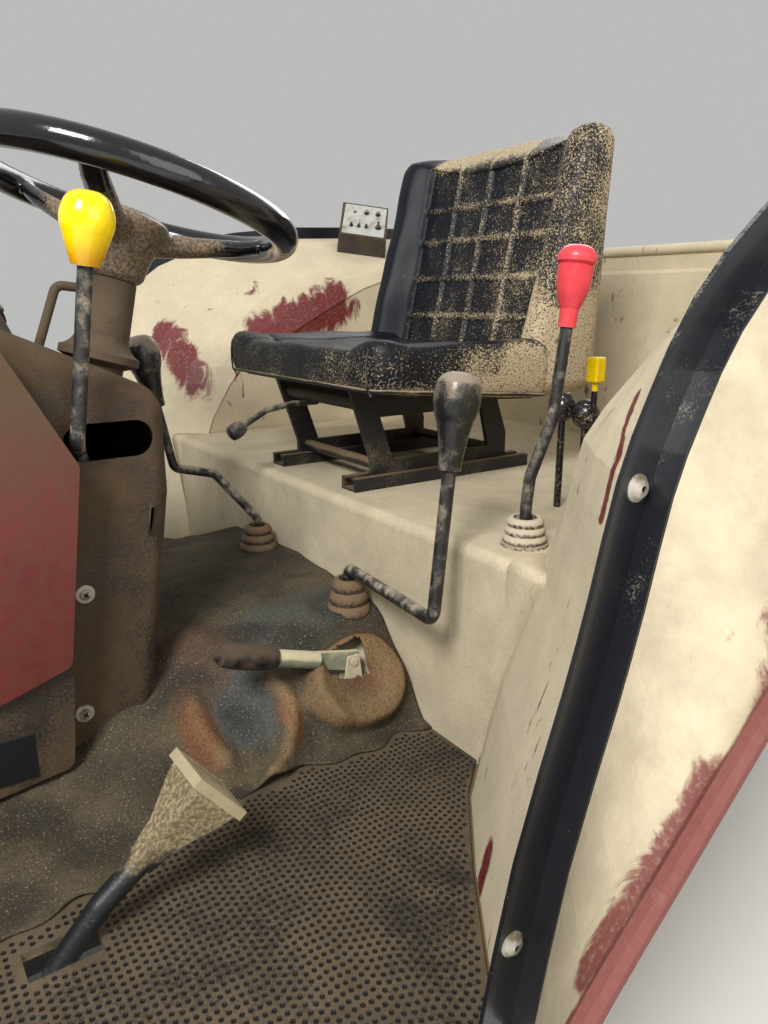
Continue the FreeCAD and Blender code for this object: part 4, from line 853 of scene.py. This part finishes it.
def pad(name, half, corner, roll, faces):
    """A closed pad. faces(u, w) gives the points of its front and of its back, each an
    array of (x, y, h), which meet at a round edge with that much roll."""
    u, w, inside = rounded_outline(half, corner)
    front, back = faces(u, w)
    middle = (front + back) / 2
    full = (1 - (1 - np.clip(inside / roll, 0, 1)) ** ROLL_POWER) ** (1 / ROLL_POWER)
    front = middle + (front - middle) * full[..., None]
    back = middle + (back - middle) * full[..., None]
    ahead = np.arange(u.size).reshape(u.shape)
    behind = ahead + u.size
    for edge in (np.s_[0, :], np.s_[-1, :], np.s_[:, 0], np.s_[:, -1]):
        behind[edge] = ahead[edge]
    points = np.concatenate([front.reshape(-1, 3), back.reshape(-1, 3)])
    shell = Shells()
    used = shell.add_used(points, np.concatenate([grid_faces(ahead), grid_faces(behind)[:, ::-1]]))
    return shell.made(name), points[used]


def laid(rows, ways):
    """Dust on each point: amounts that are limited by where it lies along some ways."""
    total = 0.0
    for amount, *limits in rows:
        for way, none_at, full_at in limits:
            amount = amount * smooth(ways[way], none_at, full_at)
        total = total + amount
    return total


def rib(distance, half):
    """1 along a rib's middle and 0 past its half width, with a rounded crest."""
    t = np.clip(1 - np.abs(distance) / half, 0, 1)
    return t * (2 - t)


def ribs(y, h, rise, cross_rise):
    """Height of the backrest's sewn grid, upright ribs and those across."""
    height = np.zeros_like(y)
    for rib_y in RIB_YS:
        height = np.maximum(height, rib(y - rib_y, RIB_HALF) * rise)
    for rib_h in RIB_HS:
        height = np.maximum(height, rib(h - rib_h, CROSS_RIB_HALF) * cross_rise)
    return height


def back_plane_x(h):
    """Where the backrest's leaning plane is at a height."""
    return BACK_CREASE[0] - (h - BACK_CREASE[1]) * BACK_LEAN


def back_faces(low, high):
    """Front and back of the backrest, between the corners of its CAD node."""
    middle_h, half_h = (low.z + high.z) / 2, (high.z - low.z) / 2

    def faces(y, w):
        h = middle_h + w
        across = np.abs(y)
        bolster = smooth(across, BOLSTER_IN, BOLSTER_RIDGE)
        proud = BOLSTER_PROUD - BOLSTER_THINS * (h - BACK_CREASE[1]) / (high.z - BACK_CREASE[1])
        top = PANEL_TOP_H + PANEL_TOP_CURVE * (across / PANEL_EDGE) ** 2
        over = np.clip((h - top) / (high.z - top), 0, 1)
        panel = smooth(across, PANEL_EDGE + PANEL_STEP, PANEL_EDGE - PANEL_STEP)
        panel = panel * smooth(h, top + PANEL_TOP_STEP, top - PANEL_TOP_STEP)
        sink = panel * (PANEL_SINK - ribs(y, h, RIB_RISE, CROSS_RIB_RISE))
        roll = (1 - bolster * BOLSTER_HOLDS) * TOP_ROLL_BACK * over ** TOP_ROLL_POWER
        wave = waves(BACK_WAVES, h, y) * (1 - panel * PANEL_HOLDS)
        x = back_plane_x(h) + bolster * proud - sink - roll + wave
        rear = low.x + (h - middle_h) * BACK_SHELL_LEAN + BACK_SHELL_IN
        return (np.stack([x, y, h], -1), np.stack([np.minimum(rear, x - BACK_THINNEST), y, h], -1))
    return faces, (high.y, half_h)


def backrest(made):
    low, high = span("seat_backrest")
    faces, half = back_faces(low, high)
    piece, points = pad("backrest", half, BACK_CORNER, BACK_ROLL, faces)
    x, y, h = points.T
    ways = {
        "left": y,
        "across": np.abs(y),
        "h": h,
        "rise": (h - low.z) / (high.z - low.z),
        "ahead": x - back_plane_x(h),
        "in": x - low.x,
    }
    # The ribs' crests get extra sand that also serves as a painted highlight.
    dust = laid(BACK_DUST, ways) + ribs(y, h, 1, 1) * laid(RIB_DUST_AND_HIGHLIGHT, ways)
    mark(piece, "dust", dust)
    dressed(piece, "seat", made["vinyl"], "black_vinyl", "seat_backrest")


def cushion_under(x):
    """Height of the cushion's underside, which rises towards the front."""
    share = np.clip((x - UNDER_FROM) / (UNDER_TO - UNDER_FROM), 0, 1)
    return UNDER_LOW + UNDER_RISE * share ** UNDER_POWER


def cushion_faces(low, high):
    """Top and underside of the cushion, between the corners of its CAD node."""
    middle_x, half_x = (low.x + high.x) / 2, (high.x - low.x) / 2

    def faces(y, w):
        x = middle_x + w
        across = np.abs(y)
        top = CUSHION_TOP + SIDE_RISE * smooth(across, SIDE_FROM, SIDE_TO)
        top = top + FRONT_RISE * smooth(x, high.x - FRONT_FROM, high.x - FRONT_TO)
        top = top - CREASE_DEPTH * rib(across - CREASE_Y, CREASE_HALF)
        top = top - CROSS_CREASE_DEPTH * rib(x - high.x + CROSS_CREASE_IN, CROSS_CREASE_HALF)
        top = top + waves(CUSHION_WAVES, x, y)
        return (np.stack([x, y, top], -1), np.stack([x, y, cushion_under(x)], -1))
    return faces, (high.y, half_x)


def piping_line(half, middle_x, steps=10):
    """Points along the cushion's lower edge, a little inside it."""
    line = []
    half_x, half_y, r = half[1] - PIPING_IN, half[0] - PIPING_IN, CUSHION_CORNER - PIPING_IN
    for sx, sy, start in ((1, 1, 0), (-1, 1, 90), (-1, -1, 180), (1, -1, 270)):
        for k in range(steps + 1):
            a = math.radians(start + 90 * k / steps)
            x = middle_x + sx * (half_x - r) + r * math.cos(a)
            y = sy * (half_y - r) + r * math.sin(a)
            line.append((x, y, cushion_under(x) + PIPING_UP))
    return line


def cushion(made):
    low, high = span("seat_cushion")
    faces, half = cushion_faces(low, high)
    piece, points = pad("cushion", half, CUSHION_CORNER, CUSHION_ROLL, faces)
    x, y, h = points.T
    mark(piece, "dust", laid(CUSHION_DUST, {"x": x, "left": y, "h": h, "ahead": x - high.x}))
    dressed(piece, "seat", made["vinyl"], "black_vinyl", "seat_cushion")
    piping = Shells()
    piping.add(*tube(piping_line(half, (low.x + high.x) / 2), PIPING_R, closed=True))
    for side in (1, -1):
        piping.add(*tube([(high.x + x, side * SEAM_Y, h) for x, h in SEAM_LINE], SEAM_R))
    dressed(piping.made("seat_piping"), "seat", made["piping"], "black_vinyl")


# Mat over the tunnel

def tunnel_profile(x):
    """Half section of the mat's face at x, from the crown down and out, with round bends."""
    stations, *columns = np.array(TUNNEL).T
    here = [np.interp(x, stations, column) for column in columns]
    foot, hip_y, hip_h, shoulder_y, shoulder_h, crown_h = here
    flange = FLANGE + sum(size * math.sin(x / length + start) for size, length, start in FLANGE_WAVES)
    return rounded((
        (0.0, crown_h + COVER_GROW),
        (shoulder_y + COVER_GROW * 0.5, shoulder_h + COVER_GROW),
        (hip_y + COVER_GROW, hip_h + COVER_GROW * 0.6),
        (foot + COVER_GROW, FLANGE_HS[0]),
        (foot + COVER_GROW + flange, FLANGE_HS[1]),
    ))


def rounded(corners, steps=6):
    """A line through corners, each replaced by a short curve."""
    corners = [np.array(c, float) for c in corners]
    line = [corners[0]]
    for before, here, after in zip(corners, corners[1:], corners[2:]):
        back, on = before - here, after - here
        back_length, on_length = np.linalg.norm(back), np.linalg.norm(on)
        reach = min(BEND_REACH, back_length * BEND_SHARE, on_length * BEND_SHARE)
        p, q = here + back / back_length * reach, here + on / on_length * reach
        for t in (k / steps for k in range(steps + 1)):
            line.append(p * (1 - t) ** 2 + here * (2 * t * (1 - t)) + q * t * t)
    return np.array(line + [corners[-1]])


def evenly(line, count):
    """The line's points at even distances, and those distances from its start."""
    steps = np.hypot(*np.diff(line, axis=0).T)
    walked = np.concatenate([[0], np.cumsum(steps)])
    wanted = np.linspace(0, walked[-1], count)
    return np.stack([np.interp(wanted, walked, line[:, k]) for k in (0, 1)], -1), wanted


def distance_to_line(x, s, line):
    """Distance from places to a run of straight pieces."""
    best = np.full(x.shape, np.inf)
    for (x0, s0), (x1, s1) in zip(line, line[1:]):
        dx, ds = x1 - x0, s1 - s0
        t = np.clip(((x - x0) * dx + (s - s0) * ds) / (dx * dx + ds * ds), 0, 1)
        best = np.minimum(best, np.hypot(x - x0 - t * dx, s - s0 - t * ds))
    return best


def lobe_relief(x, s):
    """The raised place round the handbrake, a little dished in its middle."""
    cx, cs = LOBE_AT
    out = np.hypot((x - cx) / np.where(x < cx, LOBE_BACK, LOBE_AHEAD), (s - cs) / LOBE_HALF)
    return LOBE_RISE * smooth(out, 1.02, 0.82) * (1 - LOBE_DISH * smooth(out, 0.7, 0.0))


def mat_relief(x, s, left):
    """How far the mat stands off its smooth form, at x and s down from the crown."""
    relief = np.zeros_like(x)
    for line, rise, half in FOLDS:
        if not left:
            line = [(RIGHT_FOLDS_FROM - px * RIGHT_FOLDS_SHARE, ps) for px, ps in line]
        relief = relief + rise * np.exp(-(distance_to_line(x, s, line) / half) ** 2)
    if left:
        relief = relief + lobe_relief(x, s)
    relief = relief + waves(MAT_WAVES, x, s) * smooth(s, *WAVES_START)
    for gaiter_x, gaiter_s in GAITERS:
        relief = relief * smooth(np.hypot(x - gaiter_x, s - gaiter_s), *GAITER_CLEAR)
    return RELIEF_GAIN * relief * smooth(s, *LAID_FLAT)


def rear_x_at(h):
    """The console's rear face at a height."""
    x, foot_h = CONSOLE_FOOT
    toe_x, toe_h = CONSOLE_TOE
    low = x + (toe_x - x) * (foot_h - h) / (foot_h - toe_h)
    return np.where(h >= foot_h, x - (h - foot_h) * CONSOLE_LEAN, np.minimum(low, toe_x))


def keeps_clear(centre):
    """Which faces of the mat stay: not deep inside the console, nor in the lever's slot."""
    x, y, h = centre.T
    wide = span("console_lower")[1].y
    inside = (x > rear_x_at(h) + CONSOLE_DEEP) & (np.abs(y) < wide - CONSOLE_DEEP)
    slot = (x > HAND_SLOT[0]) & (x < HAND_SLOT[1]) & (y > HAND_SLOT[2]) & (y < HAND_SLOT[3])
    return ~(inside | slot)


def mat_half(stations, side):
    """Rows of (x, y, h, relief) from the crown down one side."""
    rows = [evenly(tunnel_profile(x), MAT_HALF_POINTS) for x in stations]
    yh = np.array([row[0] for row in rows])
    s = np.array([row[1] for row in rows])
    x = np.repeat(stations[:, None], MAT_HALF_POINTS, 1)
    down = np.gradient(yh, axis=1)
    length = np.hypot(down[..., 0], down[..., 1])
    relief = mat_relief(x, s, side > 0)
    y = yh[..., 0] - down[..., 1] / length * relief
    h = yh[..., 1] + down[..., 0] / length * relief
    return np.stack([x, side * y, h, relief], -1)


def tunnel_sheet(made):
    """The mat as one sheet, draped over the cover and out onto the floor mats."""
    stations = np.linspace(TUNNEL[0][0] + MAT_INSET[0], TUNNEL[-1][0] - MAT_INSET[1], MAT_STATIONS)
    right, left = mat_half(stations, -1), mat_half(stations, 1)
    points = np.concatenate([right[:, ::-1], left[:, 1:]], axis=1)
    faces = grid_faces(np.arange(points[..., 0].size).reshape(points.shape[:2]))
    points = points.reshape(-1, 4)
    faces = faces[keeps_clear(points[faces][..., :3].mean(1))]
    shell = Shells()
    used = shell.add_used(points[:, :3], faces)
    piece = shell.made("draped_mat")
    mark(piece, "relief", points[used, 3] / RELIEF_FULL)
    thickened(piece, SHEET_T)
    dressed(piece, "root", made["tunnel"], "rubber", "tunnel_mat")


# Closing plates between the ledge and the guards

def closing_profile():
    """Points (x, h) up the ledge's front, round its bend and back along its top."""
    up, round_bend, back = CLOSING_COUNTS
    high = span("seat_ledge")[1]
    radius = LEDGE_BEND - CLOSING_UNDER
    x, top = high.x - CLOSING_UNDER, high.z - CLOSING_UNDER
    profile = [(x, h) for h in np.linspace(CLOSING_FOOT, top - radius, up)]
    for k in range(1, round_bend):
        a = math.radians(90 * k / round_bend)
        profile.append((x - radius + radius * math.cos(a), top - radius + radius * math.sin(a)))
    return profile + [(x - radius - step, top) for step in np.linspace(0, CLOSING_BACK, back)]


def closing_plates(made):
    """Bent plates that run from inside the ledge's sheet out to the guard's skin."""
    look_y, look_far = CLOSING_LOOK
    seen = bpy.context.evaluated_depsgraph_get()
    for side, word in ((1, "left"), (-1, "right")):
        trees = [BVHTree.FromObject(NODES[name + word], seen) for name in ("guard_skin_", "guard_wall_")]
        points = []
        for x, h in closing_profile():
            start = at(x, side * look_y, h)
            hits = [tree.ray_cast(start, Vector((0, side, 0)), look_far * MM) for tree in trees]
            reach = [hit[3] / MM for hit in hits if hit[3] is not None]
            if reach:
                out = look_y + min(reach) + CLOSING_OVER
                points += [(x, side * (out - CLOSING_IN), h), (x, side * out, h)]
        shell = Shells()
        shell.add(points, grid_faces(np.arange(len(points)).reshape(-1, 2))[:, ::-side])
        piece = shell.made("closing_plate_" + word)
        thickened(piece, CLOSING_T)
        dressed(piece, "root", made["ledge"], "dusty_red_paint")


# Steering wheel

def steering_wheel(made):
    """Hub, spokes and rim run together as one moulding, from their own faces."""
    shell = Shells()
    for name in ("steering_hub", "steering_rim"):
        mesh = NODES[name].data
        shell.add([in_mm(v.co) for v in mesh.vertices], [tuple(p.vertices) for p in mesh.polygons])
    piece = shell.made("steering_moulding")
    blend = piece.modifiers.new("run together", "REMESH")
    blend.mode = "VOXEL"
    blend.voxel_size = WHEEL_VOXEL * MM
    blend.use_smooth_shade = True
    even = piece.modifiers.new("even", "SMOOTH")
    even.factor = 0.5
    even.iterations = WHEEL_SMOOTHING
    dressed(piece, "steering_wheel", made["wheel"], "wheel_plastic", "steering_hub", "steering_rim")


# Studs of the floor mats

def lies_on(tree, x, y):
    """Whether a stud at (x, y) and the mat round it are on the mat's top."""
    for dx, dy in ((0, 0), (STUD_EDGE, 0), (-STUD_EDGE, 0), (0, STUD_EDGE), (0, -STUD_EDGE)):
        start = at(x + dx, y + dy, STUD_LOOK[0])
        if tree.ray_cast(start, Vector((0, 0, -1)), STUD_LOOK[1] * MM)[0] is None:
            return False
    return True


def stud_rows(low, high):
    """Places (x, y) in staggered rows, from the draped mat's edge out."""
    row = 0
    x = low.x + STUD_PITCH
    while x < high.x - STUD_PITCH:
        y = tunnel_profile(x)[-1][0] + STUD_START + (row % 2) * STUD_PITCH / 2
        while y < max(abs(low.y), abs(high.y)):
            yield x, y
            y += STUD_PITCH
        row += 1
        x += STUD_PITCH * math.sqrt(0.75)


def floor_studs(made):
    """Round studs as one piece a mat."""
    turns = [2 * math.pi * k / STUD_SIDES for k in range(STUD_SIDES)]
    index = np.arange(len(STUD_PROFILE) * STUD_SIDES).reshape(len(STUD_PROFILE), STUD_SIDES)
    faces = [tuple(f) for f in grid_faces(index, wrap=True)] + [tuple(index[-1])]
    for name in ("floor_mat_left", "floor_mat_right"):
        tree = BVHTree.FromObject(NODES[name], bpy.context.evaluated_depsgraph_get())
        low, high = span(name)
        side = 1 if high.y > 0 else -1
        shell = Shells()
        for x, y in stud_rows(low, high):
            if lies_on(tree, x, side * y):
                shell.add([(x + math.cos(a) * r, side * y + math.sin(a) * r, h)
                           for r, h in STUD_PROFILE for a in turns], faces)
        dressed(shell.made(name.replace("floor_mat", "studs")), "root", made["stud"], "rubber")


# Screws, bolts and plates

def screw_head(radius, rise):
    """A pan head's profile."""
    return ((radius, 0.0), (radius, rise * 0.45), (radius * 0.8, rise * 0.85), (radius * 0.3, rise))


def console_screw(shell, x, side, y, h):
    """A cross-slotted screw on a washer."""
    out = Vector((0, side, 0))
    washer = ((WASHER_R, 0), (WASHER_R, WASHER_T * 0.7), (WASHER_R - 1, WASHER_T), (SCREW_R, WASHER_T))
    shell.add(*turned(washer, (x, side * y, h), out))
    shell.add(*turned(screw_head(SCREW_R, SCREW_RISE), (x, side * (y + WASHER_T), h), out))
    for a in (math.radians(turn) for turn in CROSS_TURNS):
        across = Vector((math.cos(a), 0, math.sin(a)))
        crest = (x, side * (y + WASHER_T + SCREW_RISE), h)
        shell.add(*block(crest, across, out.cross(across), out, CROSS_HALF, 0.1))


def strip_bolt(shell, x, side, y, h):
    """A round bolt head on its collar."""
    wide = BOLT_R + COLLAR
    collar = ((wide, 0), (wide, 1.2), (BOLT_R, 1.6))
    shell.add(*turned(collar, (x, side * y, h), (0, side, 0)))
    shell.add(*turned(screw_head(BOLT_R, BOLT_RISE), (x, side * (y + COLLAR_T), h), (0, side, 0)))


def fasteners(made):
    console_y = span("console_lower")[1].y
    strip_y = span("door_strip_left")[0].y + STRIP_T
    kick_y = span("kick_panel_left")[1].y
    screws, plate, catches = Shells(), Shells(), Shells()
    for side in (1, -1):
        for x, h in CONSOLE_SCREWS:
            console_screw(screws, x, side, console_y, h)
        for x, h in STRIP_BOLTS:
            strip_bolt(screws, x, side, strip_y, h)
        catches.add(*block((CATCH_AT[0], side * (console_y + 1.0), CATCH_AT[1]), (-CONSOLE_LEAN, 0, 1),
                           (-1, 0, -CONSOLE_LEAN), (0, side, 0), CATCH_HALF, 0.8))
    plate_at = (PLATE_AT[0], kick_y + 0.6, PLATE_AT[1])
    plate.add(*block(plate_at, (1, 0, 0), (0, 0, -1), (0, 1, 0), PLATE_HALF, 0.5))
    dressed(screws.made("screw_heads"), "root", made["steel"], "lever_steel")
    dressed(plate.made("blank_plate", flat=True), "root", made["strip"], "black_plastic")
    dressed(catches.made("console_catches"), "root", made["console"], "black_plastic")


# Switch box face

def flat_face(name, towards):
    """Middle, three directions and half sizes of a node's four-cornered face."""
    mesh = NODES[name].data
    towards = towards.normalized()
    best = max(p.normal.dot(towards) for p in mesh.polygons)
    facing = [p for p in mesh.polygons if p.normal.dot(towards) > best - 0.02]
    corners = {tuple(round(c, 5) for c in mesh.vertices[i].co) for p in facing for i in p.vertices}
    corners = [Vector(c) for c in corners]
    middle = sum(corners, Vector()) / len(corners)
    side = towards.orthogonal().normalized()
    up = towards.cross(side)
    corners.sort(key=lambda c: math.atan2((c - middle).dot(up), (c - middle).dot(side)))
    edge, other = corners[1] - corners[0], corners[2] - corners[1]
    if edge.length < other.length:
        edge, other = other, edge
    out = edge.cross(other).normalized()
    out = out if out.dot(towards) > 0 else -out
    across = edge.normalized()
    half = (edge.length / 2 / MM, other.length / 2 / MM)
    return Vector(in_mm(middle)), across, out.cross(across), out, half


def switches(made):
    """The box's pale plate, with its knobs and small levers."""
    middle, across, along, out, half = flat_face("switch_box", SWITCH_LOOK)
    plate_half = (half[0] - SWITCH_PLATE_IN, half[1] - SWITCH_PLATE_IN, SWITCH_PLATE_HALF_T)
    plate, knobs = Shells(), Shells()
    plate.add(*block(middle + out * 0.6, across, along, out, plate_half, 0.5))
    for s, t, radius, rise, lever in SWITCHES:
        foot = middle + across * (s * half[0]) + along * (t * half[1]) + out * 1.4
        knob = ((radius, 0), (radius, rise * 0.4), (radius * 0.62, rise * 0.5), (radius * 0.6, rise))
        knobs.add(*turned(knob, foot, out, 16))
        if lever:
            stalk = ((1.7, 0), (2.6, lever * 0.8), (2.2, lever), (0.8, lever + 1))
            knobs.add(*turned(stalk, foot + out * rise * 0.7, out + along * SWITCH_LEAN, 12))
    dressed(plate.made("switch_plate", flat=True), "root", made["plate"], "black_plastic")
    dressed(knobs.made("switch_knobs"), "root", made["knob"], "black_knob")


# Instruments

def instruments(made):
    """Round gauges with plain ticks and a needle, and four small lamps."""
    foot, top = (Vector((x, 0, h)) for x, h in (RECESS_FOOT, RECESS_TOP))
    left = Vector((0, 1, 0))
    up = (top - foot).normalized()
    out = left.cross(up)
    out = out if out.x < 0 else -out
    middle = (foot + top) / 2 + out * 0.4
    rim = ((DIAL_R + 2.5, 0), (DIAL_R + 2.5, 3), (DIAL_R + 1, 4), (DIAL_R, 4), (DIAL_R, 1.2))
    rims, faces, marks = Shells(), Shells(), Shells()

    def hand(centre, turn, away, rise, half, bevel):
        """A thin bar that points out from a gauge's centre."""
        ray = left * math.cos(math.radians(turn)) + up * math.sin(math.radians(turn))
        marks.add(*block(centre + ray * away + out * rise, ray, out.cross(ray), out, half, bevel))

    for y in DIAL_YS:
        centre = middle + left * y
        rims.add(*turned(rim, centre, out, 32))
        faces.add(*turned(((DIAL_R, 0.0), (DIAL_R, 1.0)), centre, out, 32))
        for k in range(DIAL_TICKS):
            turn = DIAL_FROM - DIAL_SWEEP * k / (DIAL_TICKS - 1)
            hand(centre, turn, DIAL_R - 4, 1.2, (1.5 if k % LONG_TICK_EACH else 2.6, 0.45, 0.3), 0.1)
        hand(centre, NEEDLE_SIDE if y else NEEDLE_MIDDLE, 5, 2.0, (8.0, 0.6, 0.4), 0.2)
    for y in LAMP_YS:
        rims.add(*turned(((4.5, 0), (4.5, 2.0), (3.4, 2.6)), middle + left * y, out, 16))
    dressed(rims.made("dial_rims"), "root", made["knob"], "black_plastic")
    dressed(faces.made("dial_faces"), "root", made["dial"], "black_plastic")
    dressed(marks.made("dial_marks", flat=True), "root", made["plate"], "black_plastic")


# Pedal pads

def pad_ribs(made):
    """Raised bars across the recess of each pad."""
    up = Vector((0, 1, 0)).cross(PAD_OUT)
    short, half_wide, half_high = PAD_RIB_HALF
    for node, body in PADS:
        low, high = span(node)
        foot = Vector((PAD_AT[0], (low.y + high.y) / 2, PAD_AT[1])) + PAD_OUT * PAD_FLOOR
        shell = Shells()
        for k in range(PAD_RIBS):
            rise = (-1 + 2 * (k + 0.5) / PAD_RIBS) * PAD_HALF[0]
            shell.add(*block(foot + up * rise + PAD_OUT * 1.2, (0, 1, 0), up, PAD_OUT,
                             (PAD_HALF[1] - short, half_wide, half_high), 1.0))
        dressed(shell.made(node.replace("pad", "ribs")), body, made["pedal"], "rubber")


# Camera, light and floor

def camera():
    data = bpy.data.cameras.new("camera")
    data.sensor_width = SENSOR
    data.lens = FOCAL_PX / FRAME_HEIGHT_PX * SENSOR
    data.clip_start = 0.02
    turn, drop = math.radians(CAMERA_TURN), math.radians(CAMERA_DROP)
    look = Vector((-math.sin(turn) * math.cos(drop), -math.cos(turn) * math.cos(drop), -math.sin(drop)))
    made = placed("camera", data)
    made.location = CAMERA_AT
    made.rotation_euler = look.to_track_quat("-Z", "Y").to_euler()
    bpy.context.scene.camera = made


def lights():
    for name, place, target, size, power in LAMPS:
        data = bpy.data.lights.new(name, "AREA")
        data.size = size
        data.energy = power
        lamp = placed(name, data)
        lamp.location = place
        lamp.rotation_euler = (Vector(target) - Vector(place)).to_track_quat("-Z", "Y").to_euler()
    world = bpy.data.worlds.new("studio")
    world.use_nodes = True
    world.node_tree.nodes["Background"].inputs["Color"].default_value = WORLD_LIGHT
    bpy.context.scene.world = world


def floor():
    half = FLOOR_SIZE / 2
    mesh = bpy.data.meshes.new("floor")
    mesh.from_pydata([(-half, -half, 0), (half, -half, 0), (half, half, 0), (-half, half, 0)], [],
                     [(0, 1, 2, 3)])
    paint = Paint("studio_floor")
    mesh.materials.append(paint.finish(paint.mixed(paint.noise(3.0), *FLOOR_TONES), 0.8))
    placed("floor", mesh)


def main():
    made = materials()
    dress_nodes(made)
    cushion(made)
    backrest(made)
    tunnel_sheet(made)
    steering_wheel(made)
    floor_studs(made)
    closing_plates(made)
    fasteners(made)
    switches(made)
    instruments(made)
    pad_ribs(made)
    camera()
    lights()
    floor()
    bpy.context.scene.view_settings.view_transform = "Standard"


main()
